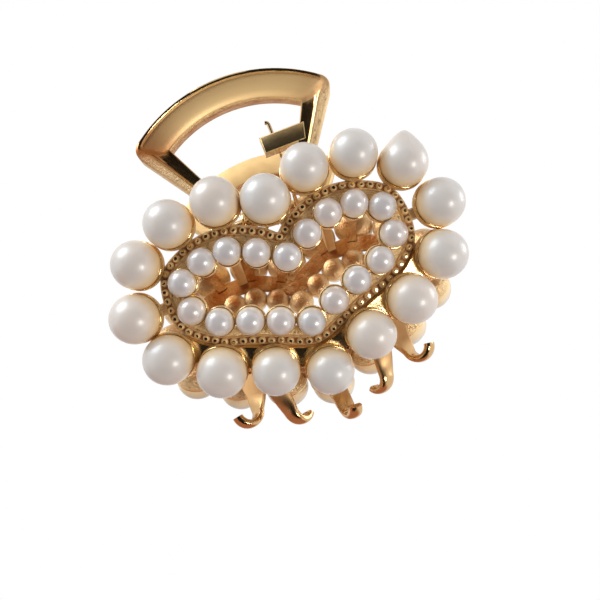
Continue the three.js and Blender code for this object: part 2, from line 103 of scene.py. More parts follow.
RIGHT, UP, TOWARDS = camera_axes()
camera_data = bpy.data.cameras.new("photo_camera")
camera_data.lens = CAMERA_LENS
camera_data.clip_start = CAMERA_NEAR * MM
camera = linked("photo_camera", camera_data)
turn = Matrix((RIGHT, UP, TOWARDS)).transposed().to_4x4()
place = Vector(CAMERA_TARGET) * MM + TOWARDS * CAMERA_DISTANCE * MM
camera.matrix_world = Matrix.Translation(place) @ turn
bpy.context.scene.camera = camera
print("Camera at", [round(value / MM, 1) for value in place], "mm")

# %% [markdown]
# ## Small tools for making closed metal parts
#
# A casting is many plain forms that run into each other: bowls, bars, a ring, a few hooks. Each form
# is made here as its own closed skin, either turned round an axis like a bowl on a wheel, or skinned
# over a row of outlines like a boat over its ribs. Overlapping closed skins look like one casting
# and stay easy to edit.
#
# Every point also carries two facts for the material. `polish` is 1 where a wheel has made a
# mirror, 0 where the metal is as it left the mould, and below 0 on the inner faces, down to -0.6,
# where no wheel reaches; there the colour is deeper, which is painted shade of the hollow inside.
# `grain` is a flat coordinate in millimetres along and across the form, which polishing marks
# follow. Its third number is how much painted shade darkens the colour there, from 0 to 1.

# %% Turned and skinned forms
INNER, CAST, MIRROR = -0.6, 0.0, 1.0
ON_AXIS = 1e-6


def turned(profile, sides):
    """A closed skin from (radius, height, polish) rows that start and end on the axis."""
    points, polish, grain, rows = [], [], [], []
    for radius, height, shine in profile:
        count = 1 if radius < ON_AXIS else sides
        rows.append(range(len(points), len(points) + count))
        for step in range(count):
            angle = 2 * math.pi * step / sides
            points.append((radius * math.cos(angle), radius * math.sin(angle), height))
            polish.append(shine)
            grain.append((radius * angle, height, 0))
    faces = []
    for low, high in zip(rows, rows[1:]):
        for step in range(sides):
            after = (step + 1) % sides
            ring = [low[step % len(low)], low[after % len(low)],
                    high[after % len(high)], high[step % len(high)]]
            faces.append(tuple(dict.fromkeys(ring)))
    return np.array(points), faces, np.array(polish), np.array(grain)


def skinned(rings, polish, closed=False):
    """A closed skin over a row of outlines. Open rows get flat ends.

    polish is one value for each point of an outline, or one such row for each outline.
    """
    rings = np.array(rings)
    count, sides = rings.shape[:2]
    faces = []
    for row in range(count if closed else count - 1):
        following = (row + 1) % count
        for side in range(sides):
            after = (side + 1) % sides
            faces.append((row * sides + side, row * sides + after,
                          following * sides + after, following * sides + side))
    if not closed:
        faces.append(tuple(range(sides))[::-1])
        faces.append(tuple(range((count - 1) * sides, count * sides)))
    steps = np.linalg.norm(np.diff(rings.mean(axis=1), axis=0), axis=1)
    along = np.repeat(np.concatenate([[0], np.cumsum(steps)])[:, None], sides, axis=1)
    across = np.cumsum(np.linalg.norm(rings - np.roll(rings, 1, axis=1), axis=2), axis=1)
    grain = np.stack([along, across, np.zeros_like(across)], axis=2)
    shine = np.broadcast_to(np.asarray(polish, float), (count, sides))
    return rings.reshape(-1, 3), faces, shine.reshape(-1), grain.reshape(-1, 3)


def with_painted_shade(part, depth):
    """The same form with painted shade in its colour; depth is one value, or one a point."""
    points, faces, polish, grain = part
    return points, faces, polish, np.column_stack([grain[:, :2], np.broadcast_to(depth, len(points))])


def moved(part, matrix):
    points, faces, polish, grain = part
    matrix = np.array(matrix)
    return points @ matrix[:3, :3].T + matrix[:3, 3], faces, polish, grain


print("A cone on sixteen sides has", len(turned([(0, 0, 0), (1, 0, 0), (0, 2, 0)], 16)[1]), "faces")

# %% From forms to one object
MERGE_DISTANCE, CREASE = 1e-7, 38


def plain_mesh(name, points, faces, numbers, vectors, edges=()):
    """A mesh from points in metres, with named numbers and vectors on its points."""
    mesh = bpy.data.meshes.new(name)
    mesh.from_pydata(np.array(points, float).tolist(), list(edges), list(faces))
    for label, values in numbers.items():
        layer = mesh.attributes.new(label, "FLOAT", "POINT")
        layer.data.foreach_set("value", np.array(values, np.float32))
    for label, values in vectors.items():
        layer = mesh.attributes.new(label, "FLOAT_VECTOR", "POINT")
        layer.data.foreach_set("vector", np.array(values, np.float32).ravel())
    return mesh


def mesh_object(name, parts, crease=CREASE):
    """One object from closed parts given in millimetres of the clip's frame."""
    points, polish, grain = (np.concatenate([part[item] for part in parts]) for item in (0, 2, 3))
    faces, start = [], 0
    for part_points, part_faces, _, _ in parts:
        faces += [tuple(start + corner for corner in face) for face in part_faces]
        start += len(part_points)
    mesh = plain_mesh(name, points * MM, faces, {"polish": polish}, {"grain": grain})
    tidy_faces(mesh)
    smoothed(mesh, crease)
    return linked(name, mesh)


def tidy_faces(mesh):
    edit = bmesh.new()
    edit.from_mesh(mesh)
    bmesh.ops.dissolve_degenerate(edit, edges=edit.edges, dist=MERGE_DISTANCE)
    bmesh.ops.recalc_face_normals(edit, faces=edit.faces)
    edit.to_mesh(mesh)
    edit.free()


def smoothed(mesh, crease):
    mesh.shade_smooth()
    mesh.set_sharp_from_angle(angle=math.radians(crease))


def lerp(a, b, share):
    return a + (b - a) * share


def bezier(a, b, c, steps):
    return [tuple((1 - t) ** 2 * np.array(a) + 2 * t * (1 - t) * np.array(b) + t * t * np.array(c))
            for t in np.linspace(0, 1, steps + 1)[1:]]


print("A bend in four steps:", np.round(bezier((0, 0), (1, 0), (1, 1), 4), 2).tolist())

# %% [markdown]
# ## The plate that carries everything
#
# Both jaws are the same plate: it leans in by 20 degrees from the pin and is gently domed, so that
# the pearls face slightly outwards all round. A place on it is given by two numbers, x across and
# `up` along the plate, and the plate gives back the height of its floor and the direction it faces.
# The two rings of pearls are hearts. Their places are shares of one pitch, so the pearls touch their
# neighbours whatever their size.

# %% Plate, rings and sizes
LARGE, SMALL, PEARL_GAP, GLUE_GAP, SEAT = 6.8, 3.9, 0.35, 0.2, 0.77
PLATE_TO_JAW = Matrix.Rotation(math.pi / 2 + math.radians(20), 4, "X")
DOME_REACH, DOME_DROP, DOME_TALL, DOME_WIDE, NOTCH_RISE = 14.8, 10.2, 35.0, 73.0, 1.35
LARGE_RING = [(0, 0), (0.915, 0.305), (1.915, 0.235), (2.775, -0.28), (3.17, -1.25),
              (2.845, -2.215), (1.965, -2.81), (0.99, -3.165), (0, -3.55)]
SMALL_RING = [(0, -1.975), (0.859, -1.506), (1.718, -1.129), (2.623, -1.153), (3.459, -1.565),
              (3.494, -2.518), (2.776, -3.165), (1.835, -3.482), (0.929, -3.835), (0, -4.212)]
LARGE_SIZES = [1.0, 0.985, 0.98, 0.99, 1.0, 1.02, 1.02, 1.0,
               0.98, 0.985, 1.03, 1.03, 1.02, 1.0, 0.985, 1.0]
NUBBED = 3
SMALL_PITCH_SHARE = 0.5944
large_pitch = max(LARGE + PEARL_GAP, (SMALL + PEARL_GAP) / SMALL_PITCH_SHARE)


def floor_at(x, up):
    return DOME_REACH - x * x / (2 * DOME_WIDE) - (up + DOME_DROP) ** 2 / (2 * DOME_TALL)


def plate_normal(x, up):
    return Vector((x / DOME_WIDE, (up + DOME_DROP) / DOME_TALL, 1)).normalized()


def on_plate(x, up, lift=0.0):
    """The jaw's frame at a place on the plate: across, up along the dome, and out of it."""
    out = plate_normal(x, up)
    across = Vector((out.z, 0, -out.x)).normalized()
    spot = Vector((x, up, floor_at(x, up))) + out * lift
    axes = Matrix((across, out.cross(across), out)).transposed().to_4x4()
    return PLATE_TO_JAW @ Matrix.Translation(spot) @ axes


def plate_point(x, up, lift):
    return np.array(on_plate(x, up, lift).translation)


def cup_places(ring, pitch, radius):
    stand = radius * SEAT + GLUE_GAP
    full = [(x * pitch, up * pitch + NOTCH_RISE) for x, up in ring]
    full += [(-x, up) for x, up in full[-2:0:-1]]
    return [(x / (1 + stand / DOME_WIDE), (up + DOME_DROP) / (1 + stand / DOME_TALL) - DOME_DROP)
            for x, up in full]


large_places = cup_places(LARGE_RING, large_pitch, LARGE / 2)
small_places = cup_places(SMALL_RING, large_pitch * SMALL_PITCH_SHARE, SMALL / 2)
large_radii = [share * LARGE / 2 for share in LARGE_SIZES]
small_radii = [SMALL / 2] * len(small_places)
FRONT = Matrix.Translation((0, 0, hinge_height))
BACK = FRONT @ Matrix.Rotation(math.pi, 4, "Z")
print(len(large_places), "large and", len(small_places), "small cups on each jaw")

# %% [markdown]
# ## Cups
#
# A cup is a shallow bowl. Its thin rim stands a little below the pearl's widest line, so the pearl
# can be pressed in from the front, and all one sees is a fine bright line round it. The rim is
# rolled over by polishing, which is why its edge is a small half circle here and not a corner. The
# back of the bowl is rounded too, because it has to leave the mould and lie against hair.

# %% Cup
CUP_FLOOR, RIM_SHARE, RIM_WALL = 0.9, 0.42, 0.3
BOWL_STEPS, BOWL_FULLNESS, RIM_STEPS = 8, 0.62, 6
BOWL_DRAFT, BOWL_RISE, BOWL_BOTTOM, BOWL_SHARE = 0.05, 0.25, 0.1, 0.8
LARGE_SIDES, SMALL_SIDES = 56, 40


def cup(radius, sides):
    rim = GLUE_GAP + radius * RIM_SHARE
    centre = GLUE_GAP + radius * SEAT
    inner = math.sqrt(radius ** 2 - (centre - rim) ** 2)
    outer = inner + RIM_WALL
    middle = (outer + inner) / 2
    base = rim - RIM_WALL
    profile = [(0, -CUP_FLOOR, INNER)]
    for step in range(1, BOWL_STEPS + 1):
        angle = math.pi / 2 * (step / BOWL_STEPS - 1)
        profile.append((outer * math.cos(angle) ** BOWL_FULLNESS,
                        base + (base + CUP_FLOOR) * math.sin(angle),
                        lerp(INNER, 0.1, step / BOWL_STEPS)))
    for step in range(RIM_STEPS + 1):
        angle = math.pi * step / RIM_STEPS
        profile.append((middle + RIM_WALL / 2 * math.cos(angle),
                        rim + RIM_WALL / 2 * math.sin(angle), MIRROR))
    profile += [(inner - BOWL_DRAFT, base, 0.5), (inner * BOWL_SHARE, BOWL_RISE, 0.2), (0, BOWL_BOTTOM, 0.2)]
    return turned(profile, sides)


def cups():
    rings = [(large_radii, large_places, LARGE_SIDES), (small_radii, small_places, SMALL_SIDES)]
    return [moved(cup(radius, sides), on_plate(*spot))
            for radii, places, sides in rings for radius, spot in zip(radii, places)]


print("A large cup has", len(cup(LARGE / 2, LARGE_SIDES)[1]), "faces")

# %% [markdown]
# ## The heart border
#
# Between the rings runs a heart-shaped band with a channel along its top. A row of small round beads
# lies in that channel: jewellers call it milgrain, and it is cut with a tiny knurled wheel. Here the
# band is skinned along a closed smooth path, and the beads come later, laid along the same path.
# The channel's floor is painted darker, as shade in the hollow.

# %% Border path
BORDER_OFFSET, BORDER_WIDTH, BORDER_DEPTH, BORDER_STEPS = 2.85, 1.25, 0.65, 216


def catmull(points, samples):
    """Evenly stepped points of a smooth closed curve through the given ones."""
    points = np.array(points, float)
    curve = []
    for position in np.arange(samples) * len(points) / samples:
        first = int(position)
        t = position - first
        a, b, c, d = (points[(first + k) % len(points)] for k in (-1, 0, 1, 2))
        curve.append(0.5 * (2 * b + (c - a) * t + (2 * a - 5 * b + 4 * c - d) * t ** 2
                            + (3 * b - a - 3 * c + d) * t ** 3))
    return np.array(curve)


def sideways(curve):
    run = np.roll(curve, -1, axis=0) - np.roll(curve, 1, axis=0)
    aside = np.stack([-run[:, 1], run[:, 0]], axis=1)
    return aside / np.linalg.norm(aside, axis=1)[:, None]


small_ring = np.array(small_places)
border_path = catmull(small_ring + sideways(small_ring) * BORDER_OFFSET, BORDER_STEPS)
border_aside = sideways(border_path)
border_run = np.linalg.norm(np.diff(border_path, axis=0), axis=1).sum()
print("Border path is", round(float(border_run), 1), "mm long")

# %% Border band and webs
# How much of the band's width is channel, and how much painted shade darkens the channel's floor
CHANNEL_SHARE, CHANNEL_PAINTED_SHADE = 0.38, 0.9
# Each row is: share of the width aside, height, polish.
BAND_PROFILE = [(-1.5, -0.6, -0.6), (0.7, -BORDER_DEPTH, -0.6), (0.72, -0.3, 0.0), (0.68, 0.0, 0.0),
                (0.56, 0.1, 0.1), (0.5, 0.3, 0.1), (0.46, 0.42, 0.2), (0.4, 0.46, 0.2), (0.33, 0.42, 0.1),
                (0.2, 0.36, 0.0), (0, 0.34, 0.0), (-0.2, 0.36, 0.0), (-0.33, 0.42, 0.1), (-0.4, 0.46, 0.2),
                (-0.46, 0.42, 0.2), (-0.5, 0.3, 0.1), (-0.56, 0.12, 0.0), (-1.0, 0.08, 0.0),
                (-1.5, 0.0, 0.0), (-1.55, -0.3, 0.0)]
WEB_WIDTH, WEB_THICKNESS = 1.7, 0.9
WEB_PROFILE = [(-1, -1, -0.6), (1, -1, -0.6), (1, -0.2, -0.1), (0.7, 0.1, 0.1), (-0.7, 0.1, 0.1),
               (-1, -0.2, -0.1)]
CORNER_WEBS, CORNER_LEVEL, CORNER_OVERLAP = range(5, 11), 1.3, 0.6


def nearest_step(spot):
    return min(range(BORDER_STEPS), key=lambda step: np.linalg.norm(border_path[step] - spot))


def border_band():
    rings = [[plate_point(*(spot + aside * share * BORDER_WIDTH), lift) for share, lift, _ in BAND_PROFILE]
             for spot, aside in zip(border_path, border_aside)]
    band = skinned(rings, [shine for _, _, shine in BAND_PROFILE], closed=True)
    # The channel's floor gets painted shade.
    dark = [CHANNEL_PAINTED_SHADE if abs(share) < CHANNEL_SHARE else 0.0 for share, _, _ in BAND_PROFILE]
    return with_painted_shade(band, np.tile(dark, len(rings)))


def web(spot):
    """A short bar from a cup to the nearest place of the border."""
    reach = border_path[nearest_step(spot)] - spot
    run = reach / np.linalg.norm(reach)
    aside = np.array((-run[1], run[0])) * WEB_WIDTH / 2
    rings = [[plate_point(*(spot + reach * share + aside * side), level * WEB_THICKNESS)
              for side, level, _ in WEB_PROFILE] for share in (0, 0.5, 1)]
    return skinned(rings, [shine for _, _, shine in WEB_PROFILE])


def corner_web(index):
    """A flat web, polished in front, that fills the corner between two large cups and the border."""
    first, second = np.array(large_places[index]), np.array(large_places[index + 1])

    def edge(place):
        step = nearest_step(place)
        return border_path[step] + border_aside[step] * BORDER_WIDTH * CORNER_OVERLAP

    corners = [second, first, edge(first), edge((first + second) / 2), edge(second)]
    rings = [[plate_point(*corner, level) for corner in corners]
             for level in (-WEB_THICKNESS, CORNER_LEVEL)]
    return skinned(rings, [[INNER], [MIRROR]])


print("The band has", len(border_band()[1]), "faces and joins", len(large_places), "webs")

# %% [markdown]
# ## The loop
#
# Pressing the two loops together opens the clip. Each is an open fan: two legs that rise from
# behind the top pearls, and an arc between two slightly rounded corners. Its outer face is dished
# between raised rims, which saves metal and gives a good hold. The arc's outer rim is polished, and
# on the legs the dish runs out into one flat facet that polishing has made into a small mirror.
# Round the two corners the colour is painted darker, as shade and reflection, and the faces of the
# legs and the arc carry painted shade too. Each station of the loop has a point on the outer outline,
# a point on the inner one, and a cross-section that turns from the leg's to the arc's.

# %% Loop sizes and sections
LOOP_FLARE = math.radians(4)
LOOP_RISE, LOOP_HALF, LOOP_INNER_HALF, LOOP_BEND, LOOP_BAND = 16.8, 15.0, 10.0, 21.5, 4.5
CORNER, CORNER_ROUND, CORNER_BULGE = 0.7, 1.1, 0.1
LEG_STATIONS, CORNER_STATIONS, ARC_STATIONS, INNER_SHARE = 14, 8, 20, 0.93
CORNER_MIDDLE, FACE_ROWS = LEG_STATIONS + CORNER_STATIONS // 2, 15
FOOT_HALF, FOOT_SHIFT, FOOT_DROP, STUB_SETBACK = 1.2, 0.2, 0.9, 0.4
# How much painted shade darkens the legs and the arc. Then, each with the number of stations it
# reaches: the painted shade that the two corners add, and the share of its polish that the right one
# loses
LEG_PAINTED_SHADE, ARC_PAINTED_SHADE, RIGHT_PAINTED_SHADE, LEFT_PAINTED_SHADE, RIGHT_DULL = 0.3, 0.15, (0.4, 5), (0.75, 8), (0.6, 4)
foot_x, foot_up = large_places[1]
leg_cup = plate_point(foot_x, foot_up, STUB_SETBACK)
LOOP_TO_JAW = (Matrix.Translation((0, leg_cup[1] + leg_cup[2] * math.tan(LOOP_FLARE), 0))
               @ Matrix.Rotation(math.pi / 2 + LOOP_FLARE, 4, "X"))

# Each row is: share of the width from the outer outline, millimetres added, height, polish.
LOOP_BACK = [(1, -0.12, -2.42, 0.3), (1, -0.3, -2.5, 0.4), (0, 0.3, -2.5, 0.4), (0, 0.12, -2.42, 0.3),
             (0, 0, -2.2, 0.1), (0, 0, -1.2, 0.1)]
ARC_SECTION = [
    (0, 0, -0.22, 0.6), (0, 0.05, -0.07, 1), (0, 0.14, 0, 1), (0, 0.34, 0, 1), (0, 0.45, -0.06, 1),
    (0, 0.53, -0.2, 0.7), (0, 0.66, -0.4, 0.4), (0.2, 0.6, -0.5, 0.4), (0.35, 0.3, -0.56, 0.4),
    (0.5, 0.1, -0.6, 0.4), (0.68, 0, -0.64, 0.4), (0.78, 0, -0.62, 0.4), (0.86, 0, -0.52, 0.4),
    (0.93, 0, -0.34, 0.5), (0.98, 0, -0.34, 0.4), (1, 0, -0.5, 0.0), (1, 0, -1.2, -0.6),
    (1, 0, -2.2, -0.6)] + LOOP_BACK
LEG_SECTION = [
    (0, 0, -0.3, 0.1), (0, 0.08, -0.12, 0.05), (0, 0.2, -0.04, 0.0), (0.1, 0.14, -0.02, 0.0),
    (0.22, 0.12, -0.02, 0.0), (0.33, 0.04, 0.02, 0.3), (0.38, 0.02, 0.03, 1), (0.42, 0.02, -0.05, 1),
    (0.46, 0.02, -0.3, 0.9), (0.5, 0, -0.42, 0.9), (0.56, 0, -0.44, 1), (0.78, 0, -0.44, 1),
    (0.9, 0, -0.44, 1), (0.94, 0, -0.4, 0.9), (0.98, 0, -0.44, 0.4), (1, 0, -0.6, 0.0),
    (1, 0, -1.2, 0.0), (1, 0, -2.2, 0.0)] + LOOP_BACK
print("Points round the loop's section:", len(ARC_SECTION))

# %% Loop stations


def loop_stations():
    """(outer point, inner point, share of the arc's section) from the right foot to the middle."""
    middle = LOOP_RISE - LOOP_BEND
    inner_bend = LOOP_BEND - LOOP_BAND

    def on_arc(bend, angle):
        return np.array((math.cos(angle), math.sin(angle))) * bend + (0, middle)

    shoulder = middle + math.sqrt(LOOP_BEND ** 2 - LOOP_HALF ** 2)
    inner_shoulder = middle + math.sqrt(inner_bend ** 2 - LOOP_INNER_HALF ** 2)
    foot_out, foot_in = (np.array((foot_x + FOOT_SHIFT + side * FOOT_HALF, -FOOT_DROP)) for side in (1, -1))
    low_corner = np.array((LOOP_HALF, shoulder - CORNER))
    corner = np.array((LOOP_HALF + CORNER_BULGE, shoulder - CORNER / 3))
    inner_corner = np.array((LOOP_INNER_HALF, inner_shoulder))
    outer_start = math.atan2(shoulder - middle, LOOP_HALF) + CORNER_ROUND / LOOP_BEND
    inner_start = math.atan2(inner_shoulder - middle, LOOP_INNER_HALF)
    turn_in = 1 - CORNER_ROUND / np.linalg.norm(low_corner - foot_out)
    side_corner = lerp(foot_out, low_corner, turn_in)
    stations = [(lerp(foot_out, side_corner, t), lerp(foot_in, inner_corner, t * INNER_SHARE), 0.0)
                for t in np.linspace(0, 1, LEG_STATIONS)]
    rounded = bezier(side_corner, corner, on_arc(LOOP_BEND, outer_start), CORNER_STATIONS)
    for step, point in enumerate(rounded, 1):
        inner_share = lerp(INNER_SHARE, 1, step / CORNER_STATIONS)
        stations.append((np.array(point), lerp(foot_in, inner_corner, inner_share),
                         step / (CORNER_STATIONS + 1)))
    for t in np.linspace(0, 1, ARC_STATIONS)[1:]:
        outer = on_arc(LOOP_BEND, lerp(outer_start, math.pi / 2, t))
        inner = on_arc(inner_bend, lerp(inner_start, math.pi / 2, t))
        stations.append((outer, inner, 1.0))
    return stations


print("Loop stations:", 2 * len(loop_stations()) - 1)

# %% Loop form


def swell(amount, reach, distance):
    """An amount that falls away smoothly with the distance from its middle."""
    return amount * math.exp(-(distance / reach) ** 2)


def lever_loop():
    right = loop_stations()
    left = [(outer * (-1, 1), inner * (-1, 1), share) for outer, inner, share in right[-2::-1]]
    arc, leg = np.array(ARC_SECTION), np.array(LEG_SECTION)
    last = len(right + left) - 1
    rings, shines, depths = [], [], []
    for number, (outer, inner, share) in enumerate(right + left):
        width = np.linalg.norm(inner - outer)
        section = lerp(leg, arc, share)
        reach = section[:, 0] * width + section[:, 1]
        flat = outer + (inner - outer) / width * reach[:, None]
        rings.append(np.column_stack([flat, section[:, 2]]))
        from_right, from_left = number - CORNER_MIDDLE, number - (last - CORNER_MIDDLE)
        shines.append(section[:, 3] * (1 - swell(*RIGHT_DULL, from_right)))
        # Painted shade on the face, with more of it round the corners
        dark = lerp(LEG_PAINTED_SHADE, ARC_PAINTED_SHADE, share) + swell(*RIGHT_PAINTED_SHADE, from_right) + swell(*LEFT_PAINTED_SHADE, from_left)
        depths.append(np.where(np.arange(len(section)) < FACE_ROWS, dark, 0.0))
    return moved(with_painted_shade(skinned(rings, shines), np.concatenate(depths)), LOOP_TO_JAW)


print("The loop has", len(lever_loop()[0]), "points")

# %% [markdown]
# ## Stub, ears and plates with rounded edges
#
# The spring's leg needs something to push on, so a short flat stub stands inwards from one leg of
# the loop. The ears are the two arms that reach from the plate to the pin. Both are flat stock with
# broken edges, and Blender's filled curves make exactly that: an outline, a thickness and a bevel.

# %% Bevelled plates
STUB_TIP, STUB_END, STUB_SLANT, STUB_RISE, STUB_HEIGHT, STUB_THICKNESS = 2.4, 8.6, 0.7, 3.3, 2.7, 1.6
STUB_BEVEL, STUB_EDGE, STUB_POLISH = 0.22, 0.19, 0.75
PIN_RADIUS, PIN_PLAY, EAR_WALL, EAR_THICKNESS = 0.9, 0.2, 1.1, 1.4
EAR_SPREAD, EAR_GAP, EAR_ROOT, EAR_RISE = 5.7, 0.3, 6.0, 1.5
EAR_BEVEL, EAR_POLISH, EAR_STEPS, EYE_STEPS, HOLE_SIDES = 0.14, 0.35, 10, 24, 28
PLATE_MERGE = 1e-4
front_ear_x = EAR_SPREAD + EAR_THICKNESS / 2
back_ear_x = front_ear_x + EAR_THICKNESS + EAR_GAP


def bevelled_plate(outlines, thickness, bevel, shine):
    """A plate between heights 0 and -thickness from outlines, the first one outside, others holes."""
    curve = bpy.data.curves.new("plate_outline", "CURVE")
    curve.dimensions = "2D"
    curve.fill_mode = "BOTH"
    curve.extrude = thickness / 2 - bevel
    curve.bevel_depth = bevel
    curve.bevel_resolution = 2
    curve.offset = -bevel
    for outline in outlines:
        spline = curve.splines.new("POLY")
        spline.points.add(len(outline) - 1)
        spline.use_cyclic_u = True
        for point, (x, y) in zip(spline.points, outline):
            point.co = (x, y, 0, 1)
    item = linked("plate_outline", curve)
    bpy.context.view_layer.update()
    solid = bpy.data.meshes.new_from_object(item.evaluated_get(bpy.context.evaluated_depsgraph_get()))
    edit = bmesh.new()
    edit.from_mesh(solid)
    bmesh.ops.remove_doubles(edit, verts=edit.verts, dist=PLATE_MERGE)
    edit.to_mesh(solid)
    edit.free()
    points = np.array([vertex.co for vertex in solid.vertices]) - (0, 0, thickness / 2)
    faces = [tuple(face.vertices) for face in solid.polygons]
    bpy.data.objects.remove(item)
    bpy.data.curves.remove(curve)
    bpy.data.meshes.remove(solid)
    return points, faces, np.full(len(points), shine), points * (1, 1, 0)


def spring_stub():
    """A slanted plate whose flat face is polished and whose edges are as cast."""
    top = STUB_RISE + STUB_HEIGHT
    outline = [(STUB_TIP, STUB_RISE), (STUB_END, STUB_RISE), (STUB_END + STUB_SLANT, top), (STUB_TIP, top)]
    points, faces, _, grain = bevelled_plate([outline], STUB_THICKNESS, STUB_BEVEL, CAST)
    edge = np.abs(points[:, 1] - STUB_RISE - STUB_HEIGHT / 2) > STUB_HEIGHT / 2 - STUB_EDGE
    end = points[:, 0] < STUB_TIP + STUB_EDGE
    polish = np.where(edge | end, CAST, STUB_POLISH)
    return moved((points - (0, 0, STUB_SETBACK), faces, polish, grain), LOOP_TO_JAW)


def ear(x):
    hole_radius = PIN_RADIUS + PIN_PLAY
    eye = hole_radius + EAR_WALL
    root_out = floor_at(x, foot_up) - CUP_FLOOR / 2
    root_top = foot_up + EAR_RISE
    outline = [(root_out, root_top - EAR_ROOT), (root_out, root_top)]
    outline += bezier((root_out, root_top), (root_out / 2, eye), (0, eye), EAR_STEPS)
    outline += [(eye * math.cos(angle), eye * math.sin(angle))
                for angle in np.linspace(math.pi / 2, math.pi * 1.5, EYE_STEPS + 1)[1:]]
    outline += bezier((0, -eye), (root_out / 2, -eye), (root_out, root_top - EAR_ROOT), EAR_STEPS)[:-1]
    hole = [(hole_radius * math.cos(angle), -hole_radius * math.sin(angle))
            for angle in np.arange(HOLE_SIDES) * 2 * math.pi / HOLE_SIDES]
    across = Matrix(((0, 0, 1, x + EAR_THICKNESS / 2), (0, 1, 0, 0), (1, 0, 0, 0), (0, 0, 0, 1)))
    plate = bevelled_plate([outline, hole], EAR_THICKNESS, EAR_BEVEL, EAR_POLISH)
    return moved(plate, PLATE_TO_JAW @ across)


print("Ears at x =", round(front_ear_x, 2), "and", round(back_ear_x, 2), "mm")

# %% [markdown]
# ## Teeth
#
# Each tooth is a tapered ribbon that leaves the back of the plate, runs on along the dome and then
# hooks inwards, so that the two rows cross under the hair. The outside of the ribbon is crowned, and
# its polish rises towards the hook, because that slides through the hair. The blunt square end
# is where the casting was cut from its tree.

# %% Tooth
TOOTH_THICKNESS, TOOTH_ROOT, TOOTH_WAIST, TOOTH_NECK, TOOTH_TIP = 1.1, 4.6, 3.0, 2.5, 1.8
# The last of these darkens the teeth's colour all over: a painted reflection.
TOOTH_FOOT, TOOTH_LEAN, HOOK_RADIUS, TOOTH_PAINTED_REFLECTION = 4.2, math.radians(12), 2.0, 0.5
ROOT_POLISH, TIP_POLISH, POLISH_STEPS = 0.3, 0.95, 35
TOOTH_SECTION = [(-1, 0.55), (-0.95, 0.85), (-0.82, 1), (0.82, 1), (0.95, 0.85), (1, 0.55),
                 (1, -0.1), (0.93, -0.42), (0.78, -0.68), (0.55, -0.86), (0.28, -0.97), (0, -1),
                 (-0.28, -0.97), (-0.55, -0.86), (-0.78, -0.68), (-0.93, -0.42), (-1, -0.1)]
# Turn aside in degrees, length before the hook, sweep of the hook in degrees
FRONT_TOOTH_X, FRONT_TOOTH = 8.0, (-42, 3.9, 130)
SIDE_TOOTH_X, SIDE_TOOTH = 11.7, (50, 2.7, 155)
MIDDLE_TOOTH = (-20, 4.1, 135)


def tooth_axes(angle, turn):
    """Heading, facing and side of a ribbon bent inwards by an angle and turned aside."""
    inward, upward = Vector((math.sin(turn), math.cos(turn), 0)), Vector((0, 0, 1))
    return (inward * math.sin(angle) - upward * math.cos(angle),
            inward * math.cos(angle) + upward * math.sin(angle), inward.cross(upward))


def tooth(x, up, turn, drop, sweep):
    """Each stage is (bend angle, turn aside, width, length of the stage, steps)."""
    turn, sweep = math.radians(turn), math.radians(sweep)
    slope = math.asin(-(PLATE_TO_JAW.to_3x3() @ plate_normal(x, up)).z)
    stages = [(slope, 0, TOOTH_ROOT, 0, 0), (slope, 0, TOOTH_WAIST, TOOTH_FOOT, 6),
              (TOOTH_LEAN, turn, TOOTH_NECK, drop, 8),
              (TOOTH_LEAN + sweep, turn, TOOTH_TIP, HOOK_RADIUS * sweep, 22)]
    place, rings = Vector(plate_point(x, up, -CUP_FLOOR / 2)), []

    def section(angle, aside, width):
        _, facing, side = tooth_axes(angle, aside)
        rings.append([np.array(place + side * (across * width / 2) + facing * (through * TOOTH_THICKNESS / 2))
                      for across, through in TOOTH_SECTION])

    section(*stages[0][:3])
    for start, stop in zip(stages, stages[1:]):
        length, steps = stop[3:]
        for step in range(steps):
            middle = [lerp(a, b, (step + 0.5) / steps) for a, b in zip(start[:3], stop[:3])]
            place += tooth_axes(*middle[:2])[0] * (length / steps)
            section(*[lerp(a, b, (step + 1) / steps) for a, b in zip(start[:3], stop[:3])])
    shine = np.minimum(ROOT_POLISH + np.arange(len(rings)) / POLISH_STEPS, TIP_POLISH)
    return with_painted_shade(skinned(rings, shine[:, None]), TOOTH_PAINTED_REFLECTION)


def tooth_pair(x, up, turn, drop, sweep):
    """Two teeth that mirror each other."""
    return [tooth(side * x, up, side * turn, drop, sweep) for side in (1, -1)]


def front_teeth():
    return tooth_pair(FRONT_TOOTH_X, large_places[7][1], *FRONT_TOOTH)


def back_teeth():
    up = (large_places[6][1] + large_places[7][1]) / 2
    return [tooth(*large_places[8], *MIDDLE_TOOTH)] + tooth_pair(SIDE_TOOTH_X, up, *SIDE_TOOTH)


print("Teeth in front:", len(front_teeth()), "and behind:", len(back_teeth()))

# %% [markdown]
# ## Two castings
#
# Now each jaw is put together. The back jaw is the same plate turned half round about the upright,
# with three teeth in place of two and its ears outside those of the front jaw.

# %% Castings


def casting(name, teeth, ear_x, jaw):
    parts = cups() + [border_band(), lever_loop(), spring_stub(), ear(ear_x), ear(-ear_x)] + teeth
    parts += [web(np.array(spot)) for spot in large_places]
    parts += [corner_web(index) for index in CORNER_WEBS]
    return mesh_object(name, [moved(part, jaw) for part in parts])


front_casting = casting("front_casting", front_teeth(), front_ear_x, FRONT)
back_casting = casting("back_casting", back_teeth(), back_ear_x, BACK)
print("Faces:", len(front_casting.data.polygons), len(back_casting.data.polygons))

# %% [markdown]
# ## Node trees
#
# Pearls, beads and wire are things that repeat or follow a path, so each is a Geometry Nodes tree
# with named inputs. The tree is run once and its result kept as a plain mesh. Materials are node
# trees too, and the same few helpers write both: one adds a node and feeds its inputs, and small
# ones stand for the nodes that come up again and again.

# %% Helpers for node trees


